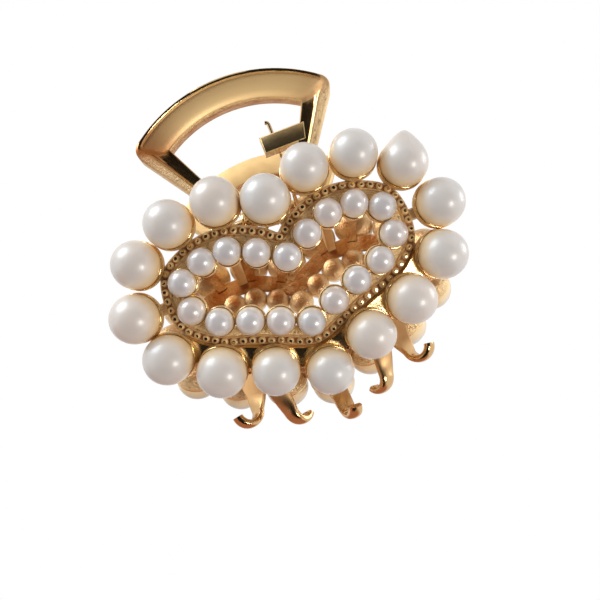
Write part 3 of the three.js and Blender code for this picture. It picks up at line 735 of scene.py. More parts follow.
def new_tree(name, kind, inputs, outputs):
    """A node group with named inputs and outputs, each with its kind of socket."""
    tree = bpy.data.node_groups.new(name, kind)
    for way, sockets in (("INPUT", inputs), ("OUTPUT", outputs)):
        for label, socket in sockets.items():
            tree.interface.new_socket(name=label, in_out=way, socket_type="NodeSocket" + socket)
    return tree, tree.nodes.new("NodeGroupInput").outputs, tree.nodes.new("NodeGroupOutput")


def fill(tree, sockets, values):
    """Links each socket to its value, where that is a socket too, or sets it to the value."""
    for socket, value in zip(sockets, values):
        if isinstance(value, bpy.types.NodeSocket):
            tree.links.new(value, socket)
        else:
            socket.default_value = value


def feed(tree, item, *terms, **values):
    """Fills a node's inputs: in their order, or by name with _ for each space."""
    fill(tree, item.inputs, terms)
    fill(tree, [next(s for s in item.inputs if s.name.replace(" ", "_") == key and s.enabled)
                for key in values], values.values())


def add_node(tree, kind, *terms, settings=(), **values):
    """A node with its settings and its inputs fed. Gives back its outputs."""
    item = tree.nodes.new(kind)
    for key, value in dict(settings).items():
        setattr(item, key, value)
    feed(tree, item, *terms, **values)
    return item.outputs


print("Helpers for adding and feeding nodes are ready")

# %% Nodes that come up again and again


def number(tree, operation, *terms, clamp=False):
    return add_node(tree, "ShaderNodeMath", *terms, settings={"operation": operation, "use_clamp": clamp})[0]


def vector(tree, operation, *terms, **values):
    return add_node(tree, "ShaderNodeVectorMath", *terms, settings={"operation": operation}, **values)


def stretched(tree, value, low, high, to_low=0.0, to_high=1.0, smooth=False):
    """A number taken from one range to another and held inside it."""
    settings = {"interpolation_type": "SMOOTHSTEP"} if smooth else {}
    return add_node(tree, "ShaderNodeMapRange", settings=settings, Value=value,
                    From_Min=low, From_Max=high, To_Min=to_low, To_Max=to_high)[0]


def noise(tree, place, scale, detail, **values):
    return add_node(tree, "ShaderNodeTexNoise", Vector=place, Scale=scale, Detail=detail, **values)[0]


def object_place(tree):
    return add_node(tree, "ShaderNodeTexCoord")["Object"]


def blended(tree, share, first, second):
    """One colour running into another."""
    item = tree.nodes.new("ShaderNodeMix")
    item.data_type = "RGBA"
    feed(tree, item, Factor=share)
    fill(tree, item.inputs[6:8], (first, second))
    return item.outputs[2]


def relief(tree, height, strength, distance, **under):
    return add_node(tree, "ShaderNodeBump", Height=height, Strength=strength, Distance=distance, **under)[0]


def kept(tree, label, kind):
    """A named value of the points, in a Geometry Nodes tree."""
    return add_node(tree, "GeometryNodeInputNamedAttribute", settings={"data_type": kind}, Name=label)[0]


def patterned(tree, given, points, axis, along, uneven, size):
    """A copy of the pattern on each point, its top the way the point faces, one axis turned along.

    uneven holds the least and the greatest share of the size that chance may give.
    """
    pattern = add_node(tree, "GeometryNodeObjectInfo", Object=given["Pattern"])["Geometry"]
    axes = add_node(tree, "FunctionNodeAxesToRotation", kept(tree, "facing", "FLOAT_VECTOR"), along,
                    settings={"primary_axis": "Z", "secondary_axis": axis})[0]
    chance = add_node(tree, "FunctionNodeRandomValue", *uneven, settings={"data_type": "FLOAT_VECTOR"},
                      Seed=given["Seed"])[0]
    return add_node(tree, "GeometryNodeInstanceOnPoints", Points=points, Instance=pattern, Rotation=axes,
                    Scale=vector(tree, "MULTIPLY", chance, size)[0])[0]


def made_real(tree, geometry):
    return add_node(tree, "GeometryNodeRealizeInstances", Geometry=geometry)[0]


def named_number(tree, geometry, label, value, domain):
    return add_node(tree, "GeometryNodeStoreNamedAttribute", Geometry=geometry, Name=label, Value=value,
                    settings={"data_type": "FLOAT", "domain": domain})[0]


def finish_tree(tree, result, geometry, material):
    finished = add_node(tree, "GeometryNodeSetMaterial", Geometry=geometry, Material=material)
    feed(tree, result, finished[0])


print("Short forms for common nodes are ready")

# %% Running a tree once


def grown(name, source, tree, values):
    """Runs a tree on an object once, and returns the result as an object with a plain mesh."""
    modifier = source.modifiers.new(tree.name, "NODES")
    modifier.node_group = tree
    for item in tree.interface.items_tree:
        if item.item_type == "SOCKET" and item.in_out == "INPUT" and item.name in values:
            modifier[item.identifier] = values[item.name]
    bpy.context.view_layer.update()
    finished = source.evaluated_get(bpy.context.evaluated_depsgraph_get())
    mesh = bpy.data.meshes.new_from_object(finished)
    mesh.name = name
    source.modifiers.remove(modifier)
    bpy.data.objects.remove(source)
    tidy_faces(mesh)
    return linked(name, mesh)


def points_object(name, points, numbers, vectors, chain=None):
    """Loose points, or an open or closed chain of them, with named values."""
    edges = [(step, step + 1) for step in range(len(points) - 1)] if chain else []
    if chain == "closed":
        edges.append((len(points) - 1, 0))
    return linked(name, plain_mesh(name, points, [], numbers, vectors, edges))


print("Trees can be run and kept as meshes")

# %% [markdown]
# ## Materials: cast gold
#
# Zinc plated in pale gold is one metal everywhere, but it isn't one surface. Cup rims, the arc's
# outer rim, the facets of the legs and the flat tops of the beads meet the polishing wheel and are
# mirrors. Most faces are as cast, grainy and satin, with the odd pit, and the inside of the jaws is
# painted deeper in colour as shade. One shader group, Cast skin, turns the `polish` and `grain` of
# each point into colour with its painted shade, roughness and relief.

# %% Cast skin group
CLOUD_SCALE, SPECK_SCALE, BRUSH_SCALE, BRUSH_STRETCH = 420.0, 2400.0, 1.6, (0.35, 7.0, 1.0)
BUMP_HEIGHT, LINE_HEIGHT = 0.3, 0.03
WAVE_STRENGTH, SPECK_STRENGTH, LINE_STRENGTH = (0.6, 0.06), 0.9, 0.35
INWARD_FROM, MATT_FROM, SMOOTHER_INSIDE, STREAKS, DULLED_METAL = 0.1, 0.35, -0.75, 0.14, (-0.7, 1.0)
# Each range is (from, to) of the pattern, and of what it becomes where that isn't 0 to 1
PIT_RANGE, SHADE_RANGE, PATCH_RANGE = (0.44, 0.36), (0.35, 0.7, 0.0, 0.15), (0.35, 0.65, 0.65, 1.0)
ROUGHNESS_CURVE = [(0.0, 0.2), (1.0, 0.05), (0.4, 0.6), (0.7, 0.2)]


def shine_to_roughness(tree, polish):
    """Roughness along a curve through the four places of ROUGHNESS_CURVE, its two ends first."""
    item = tree.nodes.new("ShaderNodeFloatCurve")
    feed(tree, item, Value=polish)
    points = item.mapping.curves[0].points
    points[0].location, points[1].location = ROUGHNESS_CURVE[:2]
    for spot in ROUGHNESS_CURVE[2:]:
        points.new(*spot)
    item.mapping.update()
    return item.outputs[0]


def cast_skin_group():
    """Plated metal from two facts of each point. raw is 1 on faces as cast, inward 1 on inner ones."""
    tree, given, result = new_tree(
        "Cast skin", "ShaderNodeTree",
        {"Polish": "Float", "Grain": "Vector", "Light colour": "Color", "Deep colour": "Color",
         "Pit colour": "Color"},
        {"Colour": "Color", "Roughness": "Float", "Metal": "Float", "Normal": "Vector"})
    place = object_place(tree)
    cloud = noise(tree, place, CLOUD_SCALE, 3.0)
    speck = noise(tree, place, SPECK_SCALE, 4.0, Roughness=0.7)
    stretch = add_node(tree, "ShaderNodeMapping", Vector=given["Grain"], Scale=BRUSH_STRETCH)
    brush = noise(tree, stretch[0], BRUSH_SCALE, 4.0)
    inward = stretched(tree, given["Polish"], INWARD_FROM, INNER)
    matt = stretched(tree, given["Polish"], MATT_FROM, CAST)
    raw = number(tree, "MULTIPLY_ADD", inward, SMOOTHER_INSIDE, matt, clamp=True)
    pits = number(tree, "MULTIPLY", stretched(tree, speck, *PIT_RANGE), raw)
    shade = stretched(tree, cloud, *SHADE_RANGE)
    # Inner faces take the deep colour in patches: painted shade of the hollow inside.
    deep = number(tree, "MULTIPLY", inward, stretched(tree, cloud, *PATCH_RANGE))
    # The third number of grain is painted shade and reflection, laid on by the forms.
    painted_shade_depth = add_node(tree, "ShaderNodeSeparateXYZ", Vector=given["Grain"])[2]
    depth = number(tree, "MAXIMUM", number(tree, "MAXIMUM", deep, painted_shade_depth), shade)
    body = blended(tree, depth, given["Light colour"], given["Deep colour"])
    waves = relief(tree, cloud, number(tree, "MULTIPLY_ADD", raw, *WAVE_STRENGTH), BUMP_HEIGHT * MM)
    specks = relief(tree, speck, number(tree, "MULTIPLY", raw, SPECK_STRENGTH), BUMP_HEIGHT * MM,
                    Normal=waves)
    rough = shine_to_roughness(tree, given["Polish"])
    feed(tree, result,
         Colour=blended(tree, pits, body, given["Pit colour"]),
         Roughness=number(tree, "MULTIPLY_ADD", brush, STREAKS, rough),
         Metal=number(tree, "MULTIPLY_ADD", raw, *DULLED_METAL),
         Normal=relief(tree, brush, LINE_STRENGTH, LINE_HEIGHT * MM, Normal=specks))
    return tree


CAST_SKIN = cast_skin_group()
print("Cast skin has", len(CAST_SKIN.nodes), "nodes")

# %% Gold materials
# The deep colours carry painted shade as well as random deeper patches.
GOLD_LIGHT, GOLD_DEEP, GOLD_PIT = (0.95, 0.70, 0.36), (0.37, 0.125, 0.03), (0.32, 0.16, 0.07)
WIRE_LIGHT, WIRE_DEEP = (0.86, 0.68, 0.42), (0.55, 0.34, 0.16)
SHADER_INPUTS = {"Colour": "Base Color", "Roughness": "Roughness", "Metal": "Metallic", "Normal": "Normal"}


def colour(rgb):
    return (*rgb, 1.0)


def new_material(name):
    material = bpy.data.materials.new(name)
    material.use_nodes = True
    return material, material.node_tree, material.node_tree.nodes["Principled BSDF"]


def skin_material(name, group, point_values, fixed, shader_values):
    """A material whose shader is fed by a group, which reads named values of the points."""
    material, tree, shader = new_material(name)
    skin = tree.nodes.new("ShaderNodeGroup")
    skin.node_tree = group
    for label, kind in point_values.items():
        layer = add_node(tree, "ShaderNodeAttribute", settings={"attribute_name": label.lower()})
        feed(tree, skin, **{label: layer[kind]})
    feed(tree, skin, **fixed)
    for output in skin.outputs:
        tree.links.new(output, shader.inputs[SHADER_INPUTS[output.name]])
    feed(tree, shader, **shader_values)
    return material


def gold_material(name, light, deep):
    return skin_material(name, CAST_SKIN, {"Polish": "Fac", "Grain": "Vector"},
                         {"Light_colour": colour(light), "Deep_colour": colour(deep),
                          "Pit_colour": colour(GOLD_PIT)}, {})


gold = gold_material("cast_gold", GOLD_LIGHT, GOLD_DEEP)
wire_gold = gold_material("gold_wire", WIRE_LIGHT, WIRE_DEEP)
print("Gold materials ready")

# %% [markdown]
# ## Materials: pearl lacquer
#
# These pearls are glass or resin balls dipped many times in pearl lacquer. Light goes a little way
# in and comes back soft, so the body is cream and satin; over it lies a clear, glossier skin that
# gives the small bright highlight. Towards the cup the colour turns warmer, which is painted warm light.
# The `height` value runs from 0 at the glued back to 1 at the top, and `tint` differs from pearl to
# pearl, because no two dips are alike.

# %% Nacre group
PATCH_SCALE, DUST_SCALE, RIPPLE_HEIGHT, DUST_HEIGHT = 260.0, 5200.0, 0.2, 0.02
RIPPLE_STRENGTH, DUST_STRENGTH, PATCH_ROUGHNESS = 0.12, 0.05, 0.12
TINT_SPREAD, PATCH_SPREAD, PAINTED_WARM_RANGE = (0.7, -0.45), 1.1, (0.85, 0.28, 0.0, 0.95)


def nacre_group():
    """Pearl lacquer: cool patches on the top, a base painted with warm light, slow ripples and fine dust."""
    tree, given, result = new_tree(
        "Nacre", "ShaderNodeTree",
        {"Height": "Float", "Tint": "Float", "Top": "Color", "Cool": "Color", "Base": "Color",
         "Satin": "Float"},
        {"Colour": "Color", "Roughness": "Float", "Normal": "Vector"})
    place = object_place(tree)
    cloud = noise(tree, place, PATCH_SCALE, 3.0)
    dust = noise(tree, place, DUST_SCALE, 2.0)
    tinted = number(tree, "MULTIPLY_ADD", given["Tint"], *TINT_SPREAD)
    coolness = number(tree, "MULTIPLY_ADD", cloud, PATCH_SPREAD, tinted, clamp=True)
    upper = blended(tree, coolness, given["Top"], given["Cool"])
    # Towards the back the colour runs into the base: painted warm light near the cup
    low = stretched(tree, given["Height"], *PAINTED_WARM_RANGE, smooth=True)
    ripple = relief(tree, cloud, RIPPLE_STRENGTH, RIPPLE_HEIGHT * MM)
    feed(tree, result,
         Colour=blended(tree, low, upper, given["Base"]),
         Roughness=number(tree, "MULTIPLY_ADD", cloud, PATCH_ROUGHNESS, given["Satin"]),
         Normal=relief(tree, dust, DUST_STRENGTH, DUST_HEIGHT * MM, Normal=ripple))
    return tree


NACRE = nacre_group()
print("Nacre has", len(NACRE.nodes), "nodes")

# %% Pearl materials
# Colours of the top, of cool patches and of the base, which is painted warm light, and roughness of the body
LARGE_BODY = ((0.66, 0.55, 0.47), (0.58, 0.54, 0.51), (0.98, 0.71, 0.37), 0.36)
SMALL_BODY = ((0.62, 0.51, 0.46), (0.56, 0.53, 0.53), (1.0, 0.82, 0.58), 0.28)
# Share and roughness of the clear skin, and how strongly the body bends light
LARGE_CLEAR, SMALL_CLEAR = (0.5, 0.2, 1.6), (0.9, 0.08, 1.9)
SHEEN_TINT, GLOW_REACH = (1.0, 0.86, 0.84), (0.6, 0.5, 0.4)


def pearl_material(name, top, cool, base, satin, clear, gloss, bend):
    return skin_material(
        name, NACRE, {"Height": "Fac", "Tint": "Fac"},
        {"Top": colour(top), "Cool": colour(cool), "Base": colour(base), "Satin": satin},
        {"IOR": bend, "Specular_IOR_Level": 1.0, "Coat_Weight": clear, "Coat_Roughness": gloss,
         "Sheen_Weight": 0.15, "Sheen_Roughness": 0.35, "Sheen_Tint": colour(SHEEN_TINT),
         "Subsurface_Weight": 0.12, "Subsurface_Radius": GLOW_REACH, "Subsurface_Scale": MM})


large_pearl = pearl_material("pearl_large", *LARGE_BODY, *LARGE_CLEAR)
small_pearl = pearl_material("pearl_small", *SMALL_BODY, *SMALL_CLEAR)
print("Pearl materials ready")

# %% [markdown]
# ## Pearls on their cups
#
# The points are the cup floors. Each carries the direction its cup faces, the direction along the
# dome, and the pearl's radius, and the tree puts one pattern pearl on each. Then it moves the
# surface in and out by a few hundredths of a millimetre in slow waves, which keeps sixteen pearls
# from looking like one pearl sixteen times. One large pearl has a nub, where its bead was moulded.

# %% Pearl pattern
PEARL_SIDES, PEARL_STEPS, PEARL_CREASE = 56, 30, 40
NUB_TURN, NUB_RISE = math.radians(20), math.radians(20)
NUB = (math.sin(NUB_TURN) * math.cos(NUB_RISE), math.cos(NUB_TURN) * math.cos(NUB_RISE),
       math.sin(NUB_RISE))
NUB_REACH, NUB_WIDTH, NUB_ROUND, BACK_EDGE = 0.31, 0.42, 1.6, 0.02


def pearl_pattern(nub):
    """A ball of radius 1 with a flat back at height 0. nub is the direction of a short point."""
    start = -math.asin(SEAT)
    profile = [(0, 0, 0)]
    for step in range(PEARL_STEPS + 1):
        angle = lerp(start, math.pi / 2, step / PEARL_STEPS)
        profile.append((0 if step == PEARL_STEPS else math.cos(angle), SEAT + math.sin(angle), 0))
    points, faces, _, _ = turned(profile, PEARL_SIDES)
    if nub:
        out = points - (0, 0, SEAT)
        lean = np.arccos(np.clip(out @ np.array(nub) / np.linalg.norm(out, axis=1), -1, 1))
        push = NUB_REACH * np.exp(-(lean / NUB_WIDTH) ** NUB_ROUND) * (points[:, 2] > BACK_EDGE)
        points = points + out * push[:, None]
    mesh = plain_mesh("pearl_pattern", points, faces, {"height": points[:, 2] / (1 + SEAT)}, {})
    smoothed(mesh, PEARL_CREASE)
    return linked("pearl_pattern", mesh)


print("A pearl turns", PEARL_SIDES, "sides in", PEARL_STEPS, "steps")

# %% Pearl tree
PEARL_UNEVEN = ((0.985, 0.985, 0.985), (1.004, 1.004, 1.0))


def pearl_tree():
    tree, given, result = new_tree(
        "Pearls on cups", "GeometryNodeTree",
        {"Cups": "Geometry", "Pattern": "Object", "Wave depth": "Float", "Wave scale": "Float",
         "Seed": "Int", "Material": "Material"},
        {"Pearls": "Geometry"})
    placed = patterned(tree, given, given["Cups"], "Y", kept(tree, "along", "FLOAT_VECTOR"),
                       PEARL_UNEVEN, kept(tree, "radius", "FLOAT"))
    tint = add_node(tree, "FunctionNodeRandomValue", settings={"data_type": "FLOAT"}, Seed=given["Seed"])[1]
    real = made_real(tree, named_number(tree, placed, "tint", tint, "INSTANCE"))
    place = add_node(tree, "GeometryNodeInputPosition")[0]
    wave = number(tree, "SUBTRACT", noise(tree, place, given["Wave scale"], 1.0), 0.5)
    depth = number(tree, "MULTIPLY", wave, given["Wave depth"])
    push = vector(tree, "SCALE", add_node(tree, "GeometryNodeInputNormal")[0], Scale=depth)[0]
    waved = add_node(tree, "GeometryNodeSetPosition", Geometry=real, Offset=push)[0]
    finish_tree(tree, result, waved, given["Material"])
    return tree


PEARL_TREE = pearl_tree()
print("Pearl tree has", len(PEARL_TREE.nodes), "nodes")

# %% Pearls on both jaws
GLUE_LIFT, WAVE_DEPTH, WAVE_SCALE = 0.04, 0.08, 330.0


def set_pearls(name, places, radii, jaw, seed, material, nub=None, chosen=lambda index: True):
    """Pearls on the chosen cups of one ring of a jaw."""
    cups_here = [(jaw @ on_plate(*spot, GLUE_LIFT), radius)
                 for index, (spot, radius) in enumerate(zip(places, radii)) if chosen(index)]
    source = points_object(
        name + "_cups", [matrix.translation * MM for matrix, _ in cups_here],
        {"radius": [radius * MM for _, radius in cups_here]},
        {"facing": [matrix.col[2][:3] for matrix, _ in cups_here],
         "along": [matrix.col[1][:3] for matrix, _ in cups_here]})
    pattern = pearl_pattern(nub)
    item = grown(name, source, PEARL_TREE, {
        "Pattern": pattern, "Wave depth": WAVE_DEPTH * MM, "Wave scale": WAVE_SCALE, "Seed": seed,
        "Material": material})
    bpy.data.objects.remove(pattern)
    return item


front_large = set_pearls("front_large_pearls", large_places, large_radii, FRONT, 3, large_pearl,
                         chosen=lambda index: index != NUBBED)
front_nub = set_pearls("front_nub_pearl", large_places, large_radii, FRONT, 5, large_pearl, NUB,
                       chosen=lambda index: index == NUBBED)
front_small = set_pearls("front_small_pearls", small_places, small_radii, FRONT, 7, small_pearl)
back_large = set_pearls("back_large_pearls", large_places, large_radii, BACK, 11, large_pearl)
back_small = set_pearls("back_small_pearls", small_places, small_radii, BACK, 13, small_pearl)
print("Pearl faces:", [len(item.data.polygons) for item in (front_large, front_nub, front_small)])

# %% [markdown]
# ## Milgrain beads
#
# The bead tree turns the border's path into a curve, counts off even steps along it and lays a bead
# on each, a little different in size every time, as a small wheel would leave them. A cloth
# polishes the flat top of each bead to a mirror, and low down between the beads the colour is
# painted dark as shade, so that each bead stands out from the next.

# %% Bead pattern
BEAD_SIDES, BEAD_STEPS, BEAD_FLATNESS, SMOOTH_ALL = 14, 8, 0.86, 180
BEAD_TOP = [(0.5, 0.74, 0.2), (0.44, 0.75, 1), (0, 0.75, 1)]
# Low on each bead the colour is painted darker, as shade between the beads: from this height, over this reach
PAINTED_SHADE_BELOW, PAINTED_SHADE_REACH = 0.2, 0.5


def bead_pattern():
    """A bead of radius 1 with a flat top, turned from (radius, height, polish) rows."""
    profile = [(0, -0.7, 0.1)]
    for step in range(1, BEAD_STEPS):
        angle = math.pi * (step / (BEAD_STEPS + 1) - 0.5)
        profile.append((math.cos(angle), BEAD_FLATNESS * math.sin(angle), 0.1))
    points, faces, polish, grain = turned(profile + BEAD_TOP, BEAD_SIDES)
    dark = np.clip((PAINTED_SHADE_BELOW - points[:, 2]) / PAINTED_SHADE_REACH, 0, CHANNEL_PAINTED_SHADE)
    return mesh_object("bead_pattern", [with_painted_shade((points / MM, faces, polish, grain), dark)], SMOOTH_ALL)


print("A bead turns", BEAD_SIDES, "sides")

# %% Bead tree
BEAD_UNEVEN = ((0.88, 0.92, 0.9), (1.04, 1.08, 1.06))


def bead_tree():
    tree, given, result = new_tree(
        "Bead row", "GeometryNodeTree",
        {"Path": "Geometry", "Pattern": "Object", "Beads": "Int", "Radius": "Float", "Seed": "Int",
         "Material": "Material"},
        {"Beads": "Geometry"})
    curve = add_node(tree, "GeometryNodeMeshToCurve", Mesh=given["Path"])[0]
    even = add_node(tree, "GeometryNodeResampleCurve", Curve=curve, Count=given["Beads"])[0]
    tangent = add_node(tree, "GeometryNodeInputTangent")[0]
    placed = patterned(tree, given, even, "X", tangent, BEAD_UNEVEN, given["Radius"])
    finish_tree(tree, result, made_real(tree, placed), given["Material"])
    return tree


BEAD_TREE = bead_tree()
print("Bead tree has", len(BEAD_TREE.nodes), "nodes")

# %% Rows of beads
BEAD_PITCH, BEAD_RADIUS, BEAD_LIFT = 1.3, 0.54, 0.5


def border_beads(name, jaw, seed):
    matrices = [jaw @ on_plate(*spot, BEAD_LIFT) for spot in border_path]
    points = np.array([matrix.translation for matrix in matrices])
    length = float(np.linalg.norm(points - np.roll(points, 1, axis=0), axis=1).sum())
    count = round(length / BEAD_PITCH)
    source = points_object(name + "_path", points * MM, {},
                           {"facing": [matrix.col[2][:3] for matrix in matrices]}, chain="closed")
    pattern = bead_pattern()
    item = grown(name, source, BEAD_TREE, {
        "Pattern": pattern, "Beads": count, "Radius": BEAD_RADIUS * MM, "Seed": seed, "Material": gold})
    bpy.data.objects.remove(pattern)
    print(name, "has", count, "beads on", round(length, 1), "mm")
    return item


front_beads = border_beads("front_border_beads", FRONT, 21)
back_beads = border_beads("back_border_beads", BACK, 22)

# %% [markdown]
# ## Pin and spring
#
# The pin is a plain wire with both ends peened over, so each head is a low dome with a soft edge.
# The torsion spring is one wire: a leg, six turns round the pin with clearance, and the other leg.
# The legs press on the stubs of the two loops from inside, and their tips are bent over a little.
# The round wire is drawn a little thinner than the model's, which keeps it inside the same space.

# %% Pin
PIN_HEAD, PIN_HEAD_HEIGHT, HEAD_ROUND, HEAD_EDGE = 1.5, 0.7, 0.12, 0.1
HEAD_STEPS, HEAD_FULLNESS, PIN_SIDES = 8, 0.8, 40


def hinge_pin():
    half = back_ear_x + EAR_THICKNESS / 2 + EAR_GAP
    edge = half + HEAD_EDGE
    head = [(PIN_RADIUS, half, 0.9), (PIN_HEAD - HEAD_ROUND, half, 0.9), (PIN_HEAD, edge, MIRROR)]
    for step in range(1, HEAD_STEPS + 1):
        angle = math.pi / 2 * step / HEAD_STEPS
        head.append((PIN_HEAD * math.cos(angle) ** HEAD_FULLNESS if step < HEAD_STEPS else 0,
                     edge + (PIN_HEAD_HEIGHT - HEAD_EDGE) * math.sin(angle), MIRROR))
    profile = [(radius, -height, shine) for radius, height, shine in head[::-1]] + head
    lying = FRONT @ Matrix.Rotation(math.pi / 2, 4, "Y")
    return mesh_object("hinge_pin_round", [moved(turned(profile, PIN_SIDES), lying)])


pin = hinge_pin()
print("Pin faces:", len(pin.data.polygons))

# %% Spring path
WIRE, SPRING_PLAY, TURNS, LEG_LENGTH, LEG_BEND = 0.7, 0.45, 6, 5.6, 1.1
WIRE_SHARE, WIRE_SIDES, WIRE_POLISH, TURN_STEPS = 0.43, 14, 0.92, 24
LEG_ANGLE = math.radians(13)
TIP_START, TIP_BEND, TIP_OVER = 0.7, 0.15, (-0.45, 0, -0.05)
coil_radius = PIN_RADIUS + SPRING_PLAY + WIRE / 2
coil_half = EAR_SPREAD - WIRE - SPRING_PLAY


def coil_point(x, angle):
    return np.array((x, coil_radius * math.cos(angle), coil_radius * math.sin(angle)))


def front_leg():
    """The angle at which the wire leaves the coil, and the leg's points up to its bent tip."""
    leave = math.pi + (math.pi / 2 - LEG_ANGLE)
    foot = coil_point(coil_half, leave)
    heading = np.array((0, -math.cos(LEG_ANGLE), math.sin(LEG_ANGLE)))
    depth = -STUB_SETBACK - STUB_THICKNESS - GLUE_GAP - WIRE / 2
    low, high = (np.array(LOOP_TO_JAW @ Vector((coil_half, STUB_RISE + rise, depth)))
                 for rise in (0, LEG_LENGTH))
    climb = (high - low) / np.linalg.norm(high - low)
    gap = low - foot
    run = (gap[1] * climb[2] - gap[2] * climb[1]) / (heading[1] * climb[2] - heading[2] * climb[1])
    corner = foot + heading * run
    points = [foot + heading * run * share for share in (0.25, 0.5, 0.75)]
    points.append(corner - heading * LEG_BEND)
    points += bezier(corner - heading * LEG_BEND, corner, corner + climb * LEG_BEND, 8)
    points += bezier(high - climb * TIP_START, high - climb * TIP_BEND, high + np.array(TIP_OVER), 6)
    return leave, [np.array(point) for point in points]


print("The front leg has", len(front_leg()[1]), "points")

# %% Spring wire


def wire_tree():
    tree, given, result = new_tree(
        "Round wire", "GeometryNodeTree",
        {"Path": "Geometry", "Radius": "Float", "Sides": "Int", "Material": "Material"},
        {"Wire": "Geometry"})
    curve = add_node(tree, "GeometryNodeMeshToCurve", Mesh=given["Path"])[0]
    circle = add_node(tree, "GeometryNodeCurvePrimitiveCircle", Resolution=given["Sides"],
                      Radius=given["Radius"])[0]
    tube = add_node(tree, "GeometryNodeCurveToMesh", Curve=curve, Profile_Curve=circle, Fill_Caps=True)[0]
    smooth = add_node(tree, "GeometryNodeSetShadeSmooth", Geometry=tube)[0]
    shine = named_number(tree, smooth, "polish", WIRE_POLISH, "POINT")
    finish_tree(tree, result, made_real(tree, shine), given["Material"])
    return tree


def spring():
    leave, leg = front_leg()
    back_leg = [point * (-1, -1, 1) for point in leg[::-1]]
    enter = math.pi - leave
    sweep = leave - enter - 2 * math.pi * TURNS
    coil = [coil_point(lerp(-coil_half, coil_half, t), enter + sweep * t)
            for t in np.linspace(0, 1, TURN_STEPS * TURNS)]
    path = [(FRONT @ Vector(point)) * MM for point in back_leg + coil + leg]
    source = points_object("spring_path", path, {}, {}, chain="open")
    return grown("spring_wire", source, wire_tree(), {
        "Radius": WIRE * WIRE_SHARE * MM, "Sides": WIRE_SIDES, "Material": wire_gold})


spring_wire = spring()
print("Spring faces:", len(spring_wire.data.polygons))

# %% [markdown]
# ## Who stands for what, and who moves with whom
#
# Each piece stands for the CAD nodes that it shows in finer form, and rides on the body that carries
# those nodes. The spring is one mesh in the clip's frame, on no body.

# %% Riding and replacing
for item, metal in ((front_casting, gold), (back_casting, gold), (pin, wire_gold)):
    item.data.materials.append(metal)
LARGE_COUNT, SMALL_COUNT = len(large_places), len(small_places)


def numbered(prefix, count, skip=None):
    return [f"{prefix}_{index + 1:02d}" for index in range(count) if index != skip]


def settle(item, body, nodes):
    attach(item, body)
    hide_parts(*nodes)


settle(front_casting, "front", ["front_jaw"])
settle(front_beads, "front", ["front_jaw"])
settle(front_large, "front", numbered("front_large_pearl", LARGE_COUNT, NUBBED))
settle(front_nub, "front", [f"front_large_pearl_{NUBBED + 1:02d}"])
settle(front_small, "front", numbered("front_small_pearl", SMALL_COUNT))
settle(back_casting, "back", ["back_jaw"])
settle(back_beads, "back", ["back_jaw"])
settle(back_small, "back", ["back_jaw"])
settle(back_large, "back", numbered("back_large_pearl", LARGE_COUNT))
settle(pin, "back", ["hinge_pin"])
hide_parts("torsion_spring")
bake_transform(spring_wire)

# %% [markdown]
# ## Studio
#
# A pale floor, a white surround, and soft lamps: a key lamp high on the left with a wide faint one
# beside it for the sky, and two small ones on the right. A highlight's place on a ball gives the
# direction of its lamp, so the pearls say where the lamps stand. Polished metal shows whatever is
# round it, so three cards stand where only reflections see them: a dark one round the camera,
# without which gold looks like paint, a warm one below and a sandy one high in front. The floor is
# pale seen from above and not there seen from below, because this camera looks from below.

# %% Surround and floor


def see_through(tree, shader, share):
    """Lets a share of the light straight through a material."""
    clear = add_node(tree, "ShaderNodeBsdfTransparent")
    mixed = add_node(tree, "ShaderNodeMixShader", share, shader.outputs[0], clear[0])
    feed(tree, tree.nodes["Material Output"], Surface=mixed[0])


def plain_world():
    """White where the camera or a mirror looks, and a dimmer sky as light."""
    world = bpy.data.worlds.new("studio")
    bpy.context.scene.world = world
    world.use_nodes = True
    tree = world.node_tree
    tree.nodes.clear()
    lit = add_node(tree, "ShaderNodeBackground", Color=colour((0.95, 0.97, 1.0)), Strength=0.55)
    shown = add_node(tree, "ShaderNodeBackground", Color=colour((1, 1, 1)), Strength=1.0)
    path = add_node(tree, "ShaderNodeLightPath")
    seen = number(tree, "MAXIMUM", path["Is Camera Ray"], path["Is Glossy Ray"])
    through = number(tree, "MAXIMUM", seen, path["Is Transmission Ray"])
    mixed = add_node(tree, "ShaderNodeMixShader", through, lit[0], shown[0])
    add_node(tree, "ShaderNodeOutputWorld", Surface=mixed[0])


def floor_material():
    material, tree, shader = new_material("pale_floor")
    mottle = noise(tree, object_place(tree), 40.0, 2.0)
    tone = blended(tree, mottle, colour((0.86, 0.86, 0.86)), colour((0.9, 0.9, 0.9)))
    feed(tree, shader, Base_Color=tone, Roughness=0.8)
    see_through(tree, shader, add_node(tree, "ShaderNodeNewGeometry")["Backfacing"])
    return material


def stage_object(name, points, faces, material):
    """A thing of the studio, which is no part of the clip."""
    mesh = plain_mesh(name, points, faces, {}, {})
    mesh.materials.append(material)
    item = linked(name, mesh)
    return item


plain_world()
floor = stage_object("floor", [(-2, -2, 0), (2, -2, 0), (2, 2, 0), (-2, 2, 0)], [(0, 1, 2, 3)],
                     floor_material())
floor.visible_shadow = floor.visible_glossy = floor.visible_diffuse = False
print("Floor is", round(floor.dimensions.x, 1), "m wide")

# %% Cards
subject = Vector((0, 0, hinge_height * MM))
CARD_SIDES, CARD_ROWS = 48, 16


def card_material(name, tone, axis, clear_from, clear_at):
    """One tone in the middle, fading out towards the edge, so that reflections have no hard rim."""
    material, tree, shader = new_material(name)
    feed(tree, shader, Base_Color=colour(tone), Roughness=1.0, Specular_IOR_Level=0.0)
    place = vector(tree, "NORMALIZE", object_place(tree))[0]
    facing = vector(tree, "DOT_PRODUCT", place, axis)["Value"]
    fade = stretched(tree, facing, math.cos(clear_from), math.cos(clear_at), smooth=True)
    see_through(tree, shader, fade)
    return material


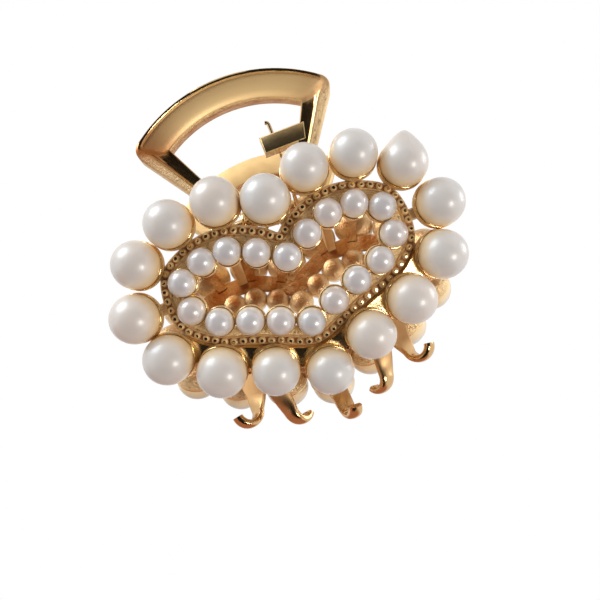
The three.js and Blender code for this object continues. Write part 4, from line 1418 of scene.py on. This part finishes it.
def card(name, tone, radius, axis, clear_from, clear_at):
    """A hollow cap of card, part of a ball about the clip, that only reflections see."""
    axis, clear_from, clear_at = axis.normalized(), math.radians(clear_from), math.radians(clear_at)
    aside = axis.orthogonal().normalized()
    other = axis.cross(aside)
    points = [axis * radius]
    for row in range(1, CARD_ROWS + 1):
        angle = clear_at * row / CARD_ROWS
        for step in range(CARD_SIDES):
            turn = 2 * math.pi * step / CARD_SIDES
            points.append((axis * math.cos(angle)
                           + (aside * math.cos(turn) + other * math.sin(turn)) * math.sin(angle)) * radius)
    steps = [(step, (step + 1) % CARD_SIDES) for step in range(CARD_SIDES)]
    faces = [(0, 1 + step, 1 + after) for step, after in steps]
    for row in range(CARD_ROWS - 1):
        low, high = 1 + row * CARD_SIDES, 1 + (row + 1) * CARD_SIDES
        faces += [(low + step, high + step, high + after, low + after) for step, after in steps]
    item = stage_object(name, points, faces, card_material(name, tone, axis, clear_from, clear_at))
    item.location = subject
    item.visible_camera = item.visible_diffuse = item.visible_shadow = item.visible_transmission = False


card("dark_card", (0.02, 0.018, 0.016), 0.45, TOWARDS - UP * 0.12, 50, 62)
card("warm_card", (0.62, 0.30, 0.20), 0.48, -UP * 0.9 - RIGHT * 0.2 + TOWARDS * 0.1, 45, 65)
card("sand_card", (0.85, 0.72, 0.60), 0.56, Vector((0, -0.62, 0.78)), 40, 58)
print("Three cards stand round the clip")

# %% Lamps


def lamp(name, across, up, towards, distance, size, level, tone):
    """An area lamp in a direction given in the picture's own axes.

    level is what it adds to a white surface that faces it.
    """
    data = bpy.data.lights.new(name, "AREA")
    data.shape = "DISK"
    data.size = size
    data.energy = level * math.pi ** 2 * distance ** 2
    data.color = tone
    direction = (RIGHT * across + UP * up + TOWARDS * towards).normalized()
    item = linked(name, data)
    item.location = subject + direction * distance
    item.rotation_euler = direction.to_track_quat("Z", "Y").to_euler()


lamp("key", -0.70, 0.67, 0.22, 0.5, 0.34, 0.80, (0.84, 0.94, 1.0))
lamp("sky", -0.66, 0.6, 0.45, 0.5, 0.7, 0.14, (0.70, 0.86, 1.0))
lamp("second", 0.62, -0.26, 0.74, 0.38, 0.12, 0.36, (1.0, 0.97, 0.92))
lamp("third", 0.96, 0.25, -0.11, 0.38, 0.16, 0.23, (0.92, 0.97, 1.0))
bpy.context.scene.view_settings.view_transform = "Standard"
print("Lamps:", len(bpy.data.lights))
